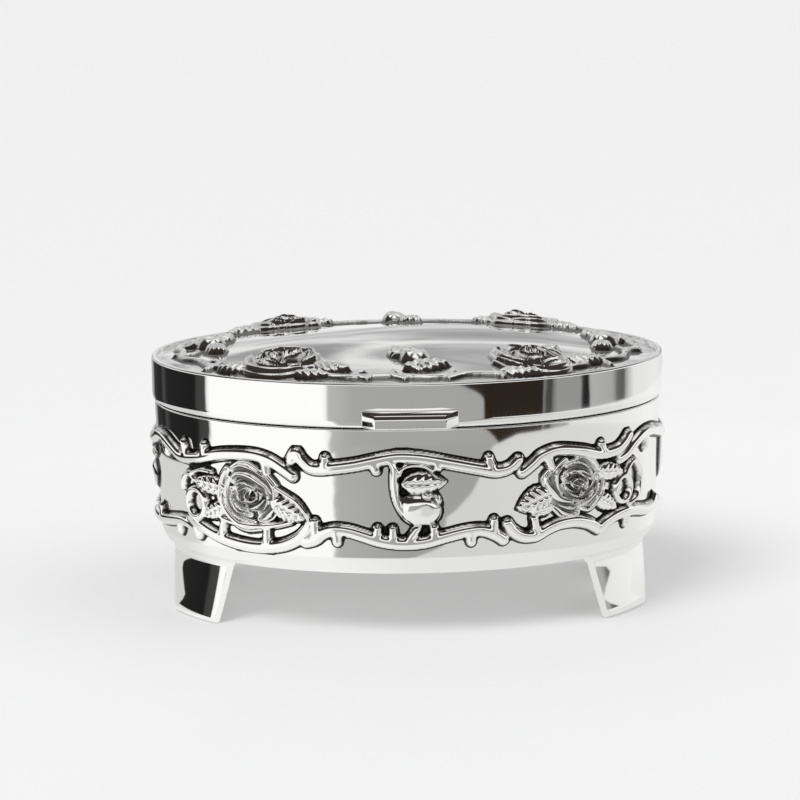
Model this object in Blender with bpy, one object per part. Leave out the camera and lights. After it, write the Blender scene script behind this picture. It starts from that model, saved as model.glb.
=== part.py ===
"""Oval silver-plated trinket box on four bracket feet, with a hinged domed lid and a velvet lining.

Metres, +Z up. The origin is on the floor, under the middle of the oval. The front faces -Y.
"""

import bisect
import math

import bmesh
import bpy
from mathutils import Matrix, Vector

# Overall sizes
LID_LENGTH = 0.115
LID_DEPTH = 0.0821
FOOT_HEIGHT = 0.014
SEAM_HEIGHT = 0.0466
LID_WALL_HEIGHT = 0.0098
DOME_RISE = 0.0042
SEAT_GAP = 0.0003
AROUND = 52

# Body shell
BODY_WALL = 0.0016
BODY_TOP_INSET = 0.0005
BODY_LOW_INSET = 0.0014
BASE_ROUND_WIDTH = 0.0032
BASE_ROUND_HEIGHT = 0.0042
FOOT_SEAT_WIDTH = 0.0032
BASE_RECESS = 0.0012
FLOOR_THICKNESS = 0.0015
FLOOR_FILLET = 0.002
RIM_CHAMFER = 0.0003
ROUND_STEPS = 3

# Lid shell
LID_WALL = 0.0016
LID_EDGE_ROUND = 0.0008
RIM_ROUND = 0.0004
RIM_LIP_WIDTH = 0.0008
RIM_GROOVE_WIDTH = 0.0012
RIM_GROOVE_DEPTH = 0.0005
LID_SKIN = 0.0015
DOME_RING_SHARES = (0.94, 0.8, 0.6, 0.36, 0.12)

# Feet
FOOT_THICKNESS = 0.0024
FOOT_TOE_THICKNESS = 0.0018
FOOT_SPLAY = 0.0003
FOOT_EDGE_ROUND = 0.0004
FOOT_ROWS = 6
FOOT_COLUMNS = 6
FOOT_TOP_SHARES = (0.5, 0.955)
FOOT_TOE_SHARES = (0.63, 0.9)
FOOT_SWEEP_POWER = 0.55

# Thumb tab
TAB_BASE_WIDTH = 0.0205
TAB_FACE_WIDTH = 0.0152
TAB_HEIGHT = 0.0042
TAB_REACH = 0.0042
TAB_END_REACH = 0.0011
TAB_TOP_BEVEL = 0.0008
TAB_LOW_BEVEL = 0.0004
TAB_COLUMNS = 6

# Hinge
HINGE_WIDTH = 0.026
HINGE_STANDOFF = 0.0027
KNUCKLE_COUNT = 5
KNUCKLE_RADIUS = 0.0015
KNUCKLE_BORE = 0.0009
KNUCKLE_SIDES = 12
LEAF_THICKNESS = 0.0006
LEAF_HEIGHT = 0.0042
ARM_THICKNESS = 0.0008
PIN_RADIUS = 0.0006
PIN_HEAD_RADIUS = 0.0012
PIN_HEAD_THICKNESS = 0.0005
LEAF_COLUMNS = 6
CUT_OVERRUN = 0.001

# Lining
LINING_THICKNESS = 0.001
LINING_BELOW_RIM = 0.001
PAD_THICKNESS = 0.0017
PAD_CROWN = 0.0008
PAD_EDGE_ROUND = 0.0006
LID_PAD_THICKNESS = 0.0014
PAD_RING_SHARES = (0.93, 0.75, 0.45, 0.15)

# Ornament on the sides and the lid
BAND_ABOVE_FOOT = 0.0055
BAND_BELOW_SEAM = 0.0051
VINE_RADIUS = 0.00125
SHOOT_RADIUS = 0.0008
TENDRIL_RADIUS = 0.0009
ORNAMENT_LIFT = 0.0002
ORNAMENT_ROOT = 0.0012
STEM_SIDES = 4
ROSE_RADIUS = 0.0067
ROSE_HEIGHT = 0.0024
ROSE_SECTORS = 10
ROSE_PETALS = 5
ROSE_LOBE_SHARE = 0.07
FOLIAGE_HEIGHT = 0.0016
BUD_HEIGHT = 0.0024
BUD_SECTORS = 8
LOOP_POINTS = 8
QUARTER_STEPS = 90
CUTTER_DEPTH = 0.004
STEM_TIP_SHARE = 0.5
BUD_PROFILE_SHARES = ((1.0, 0.3), (0.8, 0.75), (0.45, 1.0))
ROSE_PROFILE_SHARES = (
    (1.0, 0.3), (0.86, 0.62), (0.7, 0.34), (0.6, 0.8), (0.44, 0.52), (0.33, 1.0), (0.16, 0.72),
)
# how far along the leaf, how wide and how high
LEAF_STATION_SHARES = ((0.0, 0.35, 1.0), (0.42, 1.0, 1.0), (0.96, 0.12, 0.6))

# Each place is a share of a quarter of the way round, from the front's middle to the right,
# and a share of the ornament band's height.
SIDE_VINE_SHARES = (
    ((-0.995, 0.80), (-0.91, 0.86), (-0.83, 0.93), (-0.77, 0.88), (-0.715, 0.80), (-0.64, 0.82),
     (-0.55, 0.90), (-0.46, 0.92), (-0.385, 0.86), (-0.345, 0.78), (-0.27, 0.85)),
    ((-0.335, 0.87), (-0.318, 0.955), (-0.29, 0.88), (-0.23, 0.82), (-0.165, 0.84), (-0.10, 0.91),
     (-0.04, 0.95), (0.04, 0.93), (0.115, 0.875), (0.19, 0.825), (0.256, 0.80), (0.295, 0.83),
     (0.305, 0.89)),
    ((0.295, 0.77), (0.34, 0.79), (0.372, 0.88), (0.423, 0.93), (0.50, 0.89), (0.577, 0.825),
     (0.63, 0.84), (0.665, 0.91)),
    ((0.64, 0.79), (0.69, 0.83), (0.745, 0.91), (0.81, 0.93), (0.885, 0.87), (0.995, 0.80)),
    ((-0.995, 0.06), (-0.92, 0.06), (-0.85, 0.08), (-0.77, 0.12), (-0.705, 0.10), (-0.645, 0.07)),
    ((-0.685, 0.19), (-0.64, 0.115), (-0.565, 0.03), (-0.46, 0.0), (-0.37, 0.03), (-0.315, 0.13),
     (-0.29, 0.23)),
    ((-0.59, 0.27), (-0.54, 0.205), (-0.46, 0.19), (-0.40, 0.23)),
    ((-0.31, 0.07), (-0.263, 0.165), (-0.218, 0.205), (-0.14, 0.16), (-0.05, 0.11), (0.04, 0.105),
     (0.128, 0.16), (0.186, 0.18), (0.23, 0.125), (0.265, 0.08)),
    ((0.235, 0.22), (0.285, 0.16), (0.333, 0.11), (0.385, 0.16), (0.45, 0.21), (0.507, 0.145),
     (0.55, 0.10)),
    ((0.545, 0.115), (0.615, 0.175), (0.667, 0.215), (0.73, 0.17), (0.795, 0.13), (0.87, 0.10),
     (0.995, 0.06)),
)
SIDE_SHOOT_SHARES = (
    ((-0.637, 0.84), (-0.625, 0.98)), ((-0.24, 0.84), (-0.235, 0.96)), ((0.22, 0.82), (0.212, 0.94)),
    ((0.575, 0.83), (0.567, 0.96)), ((0.765, 0.91), (0.762, 0.77)), ((-0.81, 0.91), (-0.80, 0.76)),
    ((-0.75, 0.11), (-0.745, 0.0)), ((-0.86, 0.08), (-0.87, 0.2)), ((-0.09, 0.13), (-0.085, 0.255)),
    ((0.06, 0.12), (0.06, 0.28)), ((0.228, 0.13), (0.228, 0.29)), ((0.365, 0.13), (0.388, 0.42)),
    ((0.815, 0.12), (0.827, 0.26)), ((-0.565, 0.03), (-0.555, 0.22)), ((-0.417, 0.01), (-0.417, 0.2)),
)
SIDE_TENDRIL_SHARES = (
    ((-0.02, 0.92), (-0.052, 0.84), (-0.06, 0.69), (-0.044, 0.49), (-0.013, 0.32), (0.0, 0.12)),
    ((-0.72, 0.52), (-0.71, 0.62), (-0.68, 0.645), (-0.65, 0.58)),
    ((0.63, 0.6), (0.7, 0.69), (0.738, 0.58), (0.733, 0.41), (0.685, 0.28), (0.62, 0.27)),
)
# middle across, middle up, half width and half height, as shares of the quarter and the band
SIDE_LOOP_SHARES = ((-0.652, 0.385, 0.038, 0.115), (0.655, 0.42, 0.034, 0.11))
SIDE_ROSE_SHARES = ((-0.466, 0.535, 0.0), (0.477, 0.565, 0.4))
# base across, base up, tip across, tip up, half width as a share of the length
SIDE_LEAF_SHARES = (
    (-0.51, 0.54, -0.672, 0.56, 0.2), (-0.50, 0.46, -0.635, 0.22, 0.2),
    (-0.40, 0.52, -0.3, 0.28, 0.3), (0.40, 0.56, 0.305, 0.40, 0.4),
    (0.51, 0.33, 0.385, 0.42, 0.22), (0.52, 0.62, 0.665, 0.6, 0.22),
    (0.515, 0.47, 0.635, 0.26, 0.2), (-0.045, 0.77, 0.097, 0.71, 0.24),
)
# middle across, middle up, half width, half height
SIDE_BUD_SHARES = ((0.032, 0.41, 0.049, 0.17),)

# Lid places are shares of half the lid's length and of half its depth, from the dome's middle.
GARLAND_POINTS = 40
GARLAND_SHARE = 0.895
GARLAND_WAVE_SHARE = 0.014
GARLAND_WAVES = 10
LID_ROSE_SHARES = (
    (-0.45, -0.65, 0.1), (0.47, -0.65, 0.5), (-0.5, 0.63, 0.3), (0.48, 0.65, 0.8),
)
LID_BUD_SHARES = (
    (0.02, -0.66, 0.055, 0.085), (-0.04, 0.74, 0.055, 0.075),
    (-0.76, -0.02, 0.06, 0.07), (0.76, 0.03, 0.06, 0.07),
)
LID_LEAF_SHARES = (
    (-0.37, -0.72, -0.235, -0.72, 0.3), (-0.51, -0.64, -0.67, -0.5, 0.26), (-0.46, -0.57, -0.53, -0.41, 0.28),
    (0.4, -0.75, 0.3, -0.86, 0.3), (0.52, -0.64, 0.68, -0.5, 0.26), (0.46, -0.57, 0.56, -0.42, 0.28),
    (0.01, -0.76, 0.13, -0.68, 0.3), (0.0, -0.62, -0.03, -0.48, 0.3),
    (-0.75, 0.02, -0.7, 0.2, 0.3), (-0.77, -0.05, -0.7, -0.2, 0.28),
    (0.76, 0.07, 0.7, 0.24, 0.3), (0.77, -0.02, 0.72, -0.18, 0.28),
    (-0.42, 0.68, -0.29, 0.74, 0.3), (-0.54, 0.63, -0.68, 0.46, 0.26),
    (0.4, 0.7, 0.28, 0.78, 0.3), (0.52, 0.64, 0.68, 0.48, 0.26), (-0.04, 0.7, 0.05, 0.6, 0.3),
)
LID_SHOOT_SHARES = (
    ((0.0, -0.89), (-0.02, -0.7)), ((-0.1, -0.89), (-0.14, -0.8)), ((0.1, -0.89), (0.14, -0.8)),
    ((-0.04, 0.89), (-0.04, 0.78)), ((-0.89, -0.02), (-0.77, -0.02)), ((0.89, 0.03), (0.77, 0.03)),
)

HALF_LENGTH = LID_LENGTH / 2
HALF_DEPTH = LID_DEPTH / 2
BODY_TOP = SEAM_HEIGHT - SEAT_GAP / 2
LID_BOTTOM = SEAM_HEIGHT + SEAT_GAP / 2
RIM_HEIGHT = SEAM_HEIGHT + LID_WALL_HEIGHT
BASE_ROUND_TOP = FOOT_HEIGHT + BASE_ROUND_HEIGHT
BASE_EDGE_INSET = BODY_LOW_INSET + BASE_ROUND_WIDTH
FLOOR_TOP = FOOT_HEIGHT + BASE_RECESS + FLOOR_THICKNESS
DOME_INSET = RIM_ROUND + RIM_LIP_WIDTH + RIM_GROOVE_WIDTH
DOME_BASE = RIM_HEIGHT - RIM_GROOVE_DEPTH
HINGE_Y = HALF_DEPTH + HINGE_STANDOFF
BAND_LOW = FOOT_HEIGHT + BAND_ABOVE_FOOT
BAND_HEIGHT = SEAM_HEIGHT - BAND_BELOW_SEAM - BAND_LOW


def clear_scene():
    for item in list(bpy.data.objects):
        bpy.data.objects.remove(item, do_unlink=True)


def finish(name, color, roughness, metallic):
    material = bpy.data.materials.new(name)
    material.use_nodes = True
    shader = material.node_tree.nodes["Principled BSDF"]
    shader.inputs["Base Color"].default_value = (*color, 1)
    shader.inputs["Roughness"].default_value = roughness
    shader.inputs["Metallic"].default_value = metallic
    return material


def silver(name):
    return finish(name, (0.93, 0.93, 0.92), 0.05, 1)


def velvet(name):
    return finish(name, (0.02, 0.025, 0.07), 0.9, 0)


def add_object(name, mesh, material):
    item = bpy.data.objects.new(name, mesh)
    bpy.context.scene.collection.objects.link(item)
    mesh.materials.clear()
    if material:
        mesh.materials.append(material)
    return item


def object_from(name, work, material, sharp_angle=math.radians(35)):
    """The object made from a bmesh, smooth where its faces meet at less than the sharp angle."""
    bmesh.ops.recalc_face_normals(work, faces=work.faces)
    mesh = bpy.data.meshes.new(name)
    work.to_mesh(mesh)
    work.free()
    mesh.shade_smooth()
    mesh.set_sharp_from_angle(angle=sharp_angle)
    return add_object(name, mesh, material)


def as_helper(item):
    item.hide_render = True
    item.display_type = "WIRE"
    return item


def keep_shape(item):
    """Applies the modifiers, so that the object's own mesh is its final shape."""
    graph = bpy.context.evaluated_depsgraph_get()
    shaped = bpy.data.meshes.new_from_object(item.evaluated_get(graph))
    item.modifiers.clear()
    item.data = shaped
    return item


def boolean(item, tool, operation):
    change = item.modifiers.new(operation.title(), "BOOLEAN")
    change.operation = operation
    change.object = tool
    return change


def oval_point(inset, angle, height):
    """A point on the oval that lies this far inside the lid's outside, at an angle from the front."""
    across = (HALF_LENGTH - inset) * math.sin(angle)
    along = -(HALF_DEPTH - inset) * math.cos(angle)
    return Vector((across, along, height))


def oval_ring(work, inset, height, share=1):
    """A ring of vertices on an inset oval, drawn in towards the middle by a share."""
    ring = []
    for step in range(AROUND):
        point = oval_point(inset, math.tau * step / AROUND, height)
        ring.append(work.verts.new((point.x * share, point.y * share, height)))
    return ring


def bridge(work, first, second, closed=True):
    count = len(first)
    for step in range(count if closed else count - 1):
        follow = (step + 1) % count
        work.faces.new((first[step], first[follow], second[follow], second[step]))


def oval_solid(name, profile, material):
    """A solid from (inset, height, share) rings, from a cap at the middle round to a cap at the middle."""
    work = bmesh.new()
    rings = [oval_ring(work, *place) for place in profile]
    for first, second in zip(rings, rings[1:]):
        bridge(work, first, second)
    work.faces.new(rings[0])
    work.faces.new(rings[-1])
    return object_from(name, work, material)


def quarter_round(steps):
    """Shares along a quarter circle, from (0, 1) to (1, 0)."""
    turns = [math.pi / 2 * step / steps for step in range(steps + 1)]
    return [(math.sin(turn), math.cos(turn)) for turn in turns]


def body_inset(height):
    """How far the body's outer wall lies inside the lid's outside at a height."""
    share = (height - BASE_ROUND_TOP) / (BODY_TOP - BASE_ROUND_TOP)
    return BODY_LOW_INSET + (BODY_TOP_INSET - BODY_LOW_INSET) * share


def make_body_shell():
    recess_inset = BASE_EDGE_INSET + FOOT_SEAT_WIDTH
    profile = [
        (recess_inset, FOOT_HEIGHT + BASE_RECESS),
        (recess_inset, FOOT_HEIGHT),
    ]
    for across, up in quarter_round(ROUND_STEPS):
        inset = BASE_EDGE_INSET - BASE_ROUND_WIDTH * across
        profile.append((inset, BASE_ROUND_TOP - BASE_ROUND_HEIGHT * up))
    rim_inset = BODY_TOP_INSET + BODY_WALL
    profile += [
        (BODY_TOP_INSET, BODY_TOP - RIM_CHAMFER),
        (BODY_TOP_INSET + RIM_CHAMFER, BODY_TOP),
        (rim_inset - RIM_CHAMFER, BODY_TOP),
        (rim_inset, BODY_TOP - RIM_CHAMFER),
    ]
    foot_of_wall = body_inset(FLOOR_TOP + FLOOR_FILLET) + BODY_WALL
    for across, up in quarter_round(ROUND_STEPS):
        inset = foot_of_wall + FLOOR_FILLET * (1 - up)
        profile.append((inset, FLOOR_TOP + FLOOR_FILLET * (1 - across)))
    return oval_solid("body_shell", profile, silver("body_silver"))


def dome_height(share):
    """The top of the lid at a share of the way from the middle to the dome's edge."""
    return DOME_BASE + DOME_RISE * (1 - share * share)


def make_lid_shell():
    outside = [(DOME_INSET, dome_height(share), share) for share in reversed(DOME_RING_SHARES)]
    groove_inset = RIM_ROUND + RIM_LIP_WIDTH
    outside += [
        (DOME_INSET, DOME_BASE),
        (groove_inset + RIM_GROOVE_DEPTH, DOME_BASE),
        (groove_inset, RIM_HEIGHT),
    ]
    for across, up in quarter_round(ROUND_STEPS):
        outside.append((RIM_ROUND * (1 - across), RIM_HEIGHT - RIM_ROUND * (1 - up)))
    for across, up in quarter_round(ROUND_STEPS):
        outside.append((LID_EDGE_ROUND * (1 - up), LID_BOTTOM + LID_EDGE_ROUND * (1 - across)))
    inner_edge = DOME_BASE - LID_SKIN
    inside = [
        (LID_WALL - RIM_CHAMFER, LID_BOTTOM),
        (LID_WALL, LID_BOTTOM + RIM_CHAMFER),
        (LID_WALL, inner_edge - LID_SKIN),
        (DOME_INSET + LID_SKIN, inner_edge),
    ]
    for share in DOME_RING_SHARES:
        inside.append((DOME_INSET + LID_SKIN, dome_height(share) - LID_SKIN, share))
    return oval_solid("lid_shell", outside + inside, silver("lid_silver"))


def foot_span(share_down):
    """Where a foot starts and ends round the oval, at a share of the way from its top to its toe."""
    sweep = share_down**FOOT_SWEEP_POWER
    return [top + (toe - top) * sweep for top, toe in zip(FOOT_TOP_SHARES, FOOT_TOE_SHARES)]


def foot_row(work, share_down):
    start, end = foot_span(share_down)
    height = (FOOT_HEIGHT - SEAT_GAP) * (1 - share_down)
    outer_inset = BASE_EDGE_INSET - FOOT_SPLAY * share_down
    thickness = FOOT_THICKNESS + (FOOT_TOE_THICKNESS - FOOT_THICKNESS) * share_down
    insets = (outer_inset, outer_inset + thickness)
    row = []
    for inset, columns in zip(insets, (range(FOOT_COLUMNS), reversed(range(FOOT_COLUMNS)))):
        for column in columns:
            turn = start + (end - start) * column / (FOOT_COLUMNS - 1)
            row.append(work.verts.new(oval_point(inset, turn * math.pi / 2, height)))
    return row


def make_foot(name, side, end):
    """One bracket foot, made at the front right and mirrored to its own corner."""
    work = bmesh.new()
    rows = [foot_row(work, step / (FOOT_ROWS - 1)) for step in range(FOOT_ROWS)]
    for first, second in zip(rows, rows[1:]):
        bridge(work, first, second)
    work.faces.new(rows[0])
    work.faces.new(rows[-1])
    bmesh.ops.transform(work, matrix=Matrix.Diagonal((side, end, 1, 1)), verts=work.verts)
    foot = object_from(name, work, silver(name + "_silver"))
    edges = foot.modifiers.new("Edges", "BEVEL")
    edges.width = FOOT_EDGE_ROUND
    edges.segments = 1
    edges.limit_method = "ANGLE"
    edges.angle_limit = math.radians(50)
    return foot


def wall_y(across, inset):
    """How far the oval lies from the middle, along Y, at a place across it."""
    share = across / (HALF_LENGTH - inset)
    return (HALF_DEPTH - inset) * math.sqrt(1 - share * share)


def tab_section(work, across, reach):
    back = wall_y(across, 0) + SEAT_GAP
    face = HALF_DEPTH + reach
    low = LID_BOTTOM
    high = LID_BOTTOM + TAB_HEIGHT
    outline = (
        (back, low),
        (face - TAB_LOW_BEVEL, low),
        (face, low + TAB_LOW_BEVEL),
        (face, high - TAB_TOP_BEVEL),
        (face - TAB_TOP_BEVEL, high),
        (back, high),
    )
    return [work.verts.new((across, -along, height)) for along, height in outline]


def make_thumb_tab():
    places = [(-TAB_BASE_WIDTH / 2, TAB_END_REACH)]
    for column in range(TAB_COLUMNS + 1):
        places.append((TAB_FACE_WIDTH * (column / TAB_COLUMNS - 1 / 2), TAB_REACH))
    places.append((TAB_BASE_WIDTH / 2, TAB_END_REACH))
    work = bmesh.new()
    sections = [tab_section(work, across, reach) for across, reach in places]
    for first, second in zip(sections, sections[1:]):
        bridge(work, first, second)
    work.faces.new(sections[0])
    work.faces.new(sections[-1])
    return object_from("thumb_tab", work, silver("tab_silver"))


def turned_along_x(name, profile, material, sides=KNUCKLE_SIDES):
    """A round solid on the hinge axis, from (place along X, radius) pairs."""
    work = bmesh.new()
    rings = []
    for across, radius in profile:
        ring = []
        for step in range(sides):
            turn = math.tau * step / sides
            up = SEAM_HEIGHT + radius * math.sin(turn)
            ring.append(work.verts.new((across, HINGE_Y + radius * math.cos(turn), up)))
        rings.append(ring)
    for first, second in zip(rings, rings[1:]):
        bridge(work, first, second)
    work.faces.new(rings[0])
    work.faces.new(rings[-1])
    return object_from(name, work, material)


def box(name, low, high, material):
    work = bmesh.new()
    bmesh.ops.create_cube(work, size=1)
    for vertex in work.verts:
        for axis in range(3):
            vertex.co[axis] = high[axis] if vertex.co[axis] > 0 else low[axis]
    return object_from(name, work, material)


def leaf_plate(name, inset, low, high, material):
    """A thin plate bent to the rear wall, from one end of the hinge to the other."""
    work = bmesh.new()
    columns = []
    for column in range(LEAF_COLUMNS + 1):
        across = HINGE_WIDTH * (column / LEAF_COLUMNS - 1 / 2)
        near = wall_y(across, inset) + SEAT_GAP
        far = near + LEAF_THICKNESS
        corners = ((near, low), (far, low), (far, high), (near, high))
        columns.append([work.verts.new((across, along, up)) for along, up in corners])
    for first, second in zip(columns, columns[1:]):
        bridge(work, first, second)
    work.faces.new(columns[0])
    work.faces.new(columns[-1])
    return object_from(name, work, material)


def knuckle_span(index):
    pitch = HINGE_WIDTH / KNUCKLE_COUNT
    start = index * pitch - HINGE_WIDTH / 2
    return start + SEAT_GAP / 2, start + pitch - SEAT_GAP / 2


def make_leaf(name, inset, edge, up, knuckles):
    """A hinge leaf: its plate, an arm and a knuckle for each of its turns, and the bore through them."""
    material = silver(name + "_silver")
    low, high = sorted((edge, edge + up * LEAF_HEIGHT))
    leaf = leaf_plate(name, inset, low, high, material)
    arm_low, arm_high = sorted((
        SEAM_HEIGHT + up * KNUCKLE_RADIUS,
        SEAM_HEIGHT + up * (KNUCKLE_RADIUS - ARM_THICKNESS),
    ))
    for index in knuckles:
        start, end = knuckle_span(index)
        arm_back = wall_y(max(abs(start), abs(end)), inset) + SEAT_GAP + LEAF_THICKNESS / 2
        arm = box(name + "_arm", (start, arm_back, arm_low), (end, HINGE_Y, arm_high), material)
        barrel = turned_along_x(name + "_knuckle", ((start, KNUCKLE_RADIUS), (end, KNUCKLE_RADIUS)), material)
        for part in (arm, barrel):
            boolean(leaf, as_helper(part), "UNION")
    reach = HINGE_WIDTH / 2 + CUT_OVERRUN
    bore = turned_along_x(name + "_bore", ((-reach, KNUCKLE_BORE), (reach, KNUCKLE_BORE)), material)
    boolean(leaf, as_helper(bore), "DIFFERENCE")
    return leaf


def make_hinge():
    turns = range(KNUCKLE_COUNT)
    make_leaf("hinge_body_leaf", BODY_TOP_INSET, BODY_TOP, -1, turns[::2])
    make_leaf("hinge_lid_leaf", 0, LID_BOTTOM, 1, turns[1::2])
    shank = HINGE_WIDTH / 2 + SEAT_GAP / 2
    tip = shank + PIN_HEAD_THICKNESS
    head_edge = PIN_HEAD_RADIUS - PIN_HEAD_THICKNESS / 2
    profile = (
        (-tip, head_edge),
        (-tip + PIN_HEAD_THICKNESS / 2, PIN_HEAD_RADIUS),
        (-shank, PIN_HEAD_RADIUS),
        (-shank, PIN_RADIUS),
        (shank, PIN_RADIUS),
        (shank, PIN_HEAD_RADIUS),
        (tip - PIN_HEAD_THICKNESS / 2, PIN_HEAD_RADIUS),
        (tip, head_edge),
    )
    turned_along_x("hinge_pin", profile, finish("pin_steel", (0.7, 0.7, 0.71), 0.25, 1))


def make_wall_lining():
    """A velvet-covered strip that stands inside the body's wall."""
    low = FLOOR_TOP + FLOOR_FILLET
    high = BODY_TOP - LINING_BELOW_RIM
    outer_low = body_inset(low) + BODY_WALL + SEAT_GAP
    outer_high = body_inset(high) + BODY_WALL + SEAT_GAP
    profile = (
        (outer_low, low),
        (outer_high, high),
        (outer_high + LINING_THICKNESS, high),
        (outer_low + LINING_THICKNESS, low),
    )
    work = bmesh.new()
    rings = [oval_ring(work, inset, height) for inset, height in profile]
    for first, second in zip(rings, rings[1:] + rings[:1]):
        bridge(work, first, second)
    return object_from("wall_lining", work, velvet("wall_velvet"))


def make_floor_pad():
    """A velvet-covered card with a low crown, laid on the floor inside the corner fillet."""
    inset = body_inset(FLOOR_TOP + FLOOR_FILLET) + BODY_WALL + FLOOR_FILLET + SEAT_GAP
    low = FLOOR_TOP + SEAT_GAP
    high = low + PAD_THICKNESS
    profile = [(inset + PAD_EDGE_ROUND, low), (inset, low + PAD_EDGE_ROUND), (inset, high - PAD_EDGE_ROUND)]
    for share in PAD_RING_SHARES:
        profile.append((inset, high + PAD_CROWN * (1 - share * share), share))
    return oval_solid("floor_pad", profile, velvet("floor_velvet"))


def make_lid_lining():
    """A velvet-covered pad that fills the underside of the dome."""
    inset = DOME_INSET + LID_SKIN
    edge_share = DOME_RING_SHARES[0]
    profile = []
    for share in reversed(DOME_RING_SHARES):
        profile.append((inset, dome_height(share) - LID_SKIN - SEAT_GAP, share))
    for share in DOME_RING_SHARES[::2]:
        crown = PAD_CROWN * (1 - (share / edge_share) ** 2)
        low = dome_height(share) - LID_SKIN - SEAT_GAP - LID_PAD_THICKNESS - crown
        profile.append((inset, low, share))
    return oval_solid("lid_lining", profile, velvet("lid_velvet"))


def quarter_lengths():
    """The length of the body's oval from the front's middle to each small turn of a quarter."""
    inset = body_inset(BAND_LOW)
    lengths = [0]
    before = oval_point(inset, 0, 0)
    for step in range(1, QUARTER_STEPS + 1):
        after = oval_point(inset, math.pi / 2 * step / QUARTER_STEPS, 0)
        lengths.append(lengths[-1] + (after - before).length)
        before = after
    return lengths


def turn_at(across):
    """The oval's angle from the front at a length along it from the front's middle."""
    step = min(max(bisect.bisect_left(QUARTER_LENGTHS, abs(across)), 1), QUARTER_STEPS)
    before, after = QUARTER_LENGTHS[step - 1], QUARTER_LENGTHS[step]
    part = (abs(across) - before) / (after - before)
    return math.copysign(math.pi / 2 * (step - 1 + part) / QUARTER_STEPS, across)


def side_point(place, shift, out):
    """A point near the body's wall: a place in the ornament band, a shift on it, and how far out."""
    turn = turn_at(place[0] * QUARTER_LENGTHS[-1] + shift[0])
    height = BAND_LOW + place[1] * BAND_HEIGHT + shift[1]
    point = oval_point(body_inset(height), turn, height)
    outward = Vector((point.x / HALF_LENGTH**2, point.y / HALF_DEPTH**2, 0)).normalized()
    return point + outward * out


def lid_point(place, shift, out):
    """A point near the lid's dome: a place as shares of half the lid each way, a shift, and how far up."""
    across = place[0] * HALF_LENGTH + shift[0]
    along = place[1] * HALF_DEPTH + shift[1]
    share = math.hypot(across / (HALF_LENGTH - DOME_INSET), along / (HALF_DEPTH - DOME_INSET))
    return Vector((across, along, dome_height(share) + out))


def make_stem(to_world, places, radius, closed=False):
    """A stem along places on a surface, sunk in it to about its middle, and thinner at its tips."""
    spine = [to_world(place, (0, 0), ORNAMENT_LIFT) for place in places]
    work = bmesh.new()
    rings = []
    last = len(spine) - 1
    for step, middle in enumerate(spine):
        if closed:
            ahead = spine[(step + 1) % len(spine)] - spine[step - 1]
        else:
            ahead = spine[min(step + 1, last)] - spine[max(step - 1, 0)]
        thickness = radius * (STEM_TIP_SHARE if not closed and step in (0, last) else 1)
        outward = (to_world(places[step], (0, 0), ORNAMENT_LIFT + radius) - middle).normalized()
        sideways = ahead.cross(outward).normalized()
        rings.append(stem_ring(work, middle, outward * thickness, sideways * thickness))
    for first, second in zip(rings, rings[1:]):
        bridge(work, first, second)
    if closed:
        bridge(work, rings[-1], rings[0])
    else:
        work.faces.new(rings[0])
        work.faces.new(rings[-1])
    return as_helper(object_from("stem", work, None))


def stem_ring(work, middle, outward, sideways):
    """A ring round a stem, with one corner straight out from the surface."""
    ring = []
    for side in range(STEM_SIDES):
        turn = math.tau * side / STEM_SIDES
        ring.append(work.verts.new(middle + outward * math.cos(turn) + sideways * math.sin(turn)))
    return ring


def raised_disc(to_world, place, rings, name):
    """A closed shape over a place, from rings of (across, up, out) shifts, with its first ring rooted."""
    root = [(across, up, -ORNAMENT_ROOT) for across, up, out in rings[0]]
    work = bmesh.new()
    made = []
    for ring in [root, *rings]:
        made.append([work.verts.new(to_world(place, (across, up), out)) for across, up, out in ring])
    for first, second in zip(made, made[1:]):
        bridge(work, first, second)
    work.faces.new(made[0])
    work.faces.new(made[-1])
    return as_helper(object_from(name, work, None))


def make_rose(to_world, place):
    """A rose of overlapping petals: scalloped rings that rise and fall towards the heart."""
    across, up, twist_share = place
    rings = []
    for layer, (reach, rise) in enumerate(ROSE_PROFILE_SHARES):
        ring = []
        for sector in range(ROSE_SECTORS):
            turn = math.tau * (sector / ROSE_SECTORS + twist_share)
            lobe = math.cos(ROSE_PETALS * turn + math.pi * ((layer + 1) // 2))
            radius = ROSE_RADIUS * reach * (1 + ROSE_LOBE_SHARE * lobe)
            ring.append((radius * math.cos(turn), radius * math.sin(turn), ROSE_HEIGHT * rise))
        rings.append(ring)
    return raised_disc(to_world, (across, up), rings, "rose")


def make_petal_leaf(to_world, shares, width_unit, height_unit):
    """A pointed leaf with a raised midrib, from its base to its tip."""
    base_across, base_up, tip_across, tip_up, width_share = shares
    along = Vector(((tip_across - base_across) * width_unit, (tip_up - base_up) * height_unit))
    side = Vector((-along.y, along.x)) * width_share
    work = bmesh.new()
    sections = []
    for reach, width, rise in LEAF_STATION_SHARES:
        middle = along * reach
        edge = side * width
        rib = FOLIAGE_HEIGHT * rise
        corners = (
            (middle - edge, -ORNAMENT_ROOT),
            (middle - edge, rib / 2),
            (middle, rib),
            (middle + edge, rib / 2),
            (middle + edge, -ORNAMENT_ROOT),
        )
        sections.append([work.verts.new(to_world((base_across, base_up), *corner)) for corner in corners])
    for first, second in zip(sections, sections[1:]):
        bridge(work, first, second)
    work.faces.new(sections[0])
    work.faces.new(sections[-1])
    return as_helper(object_from("leaf", work, None))


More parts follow.
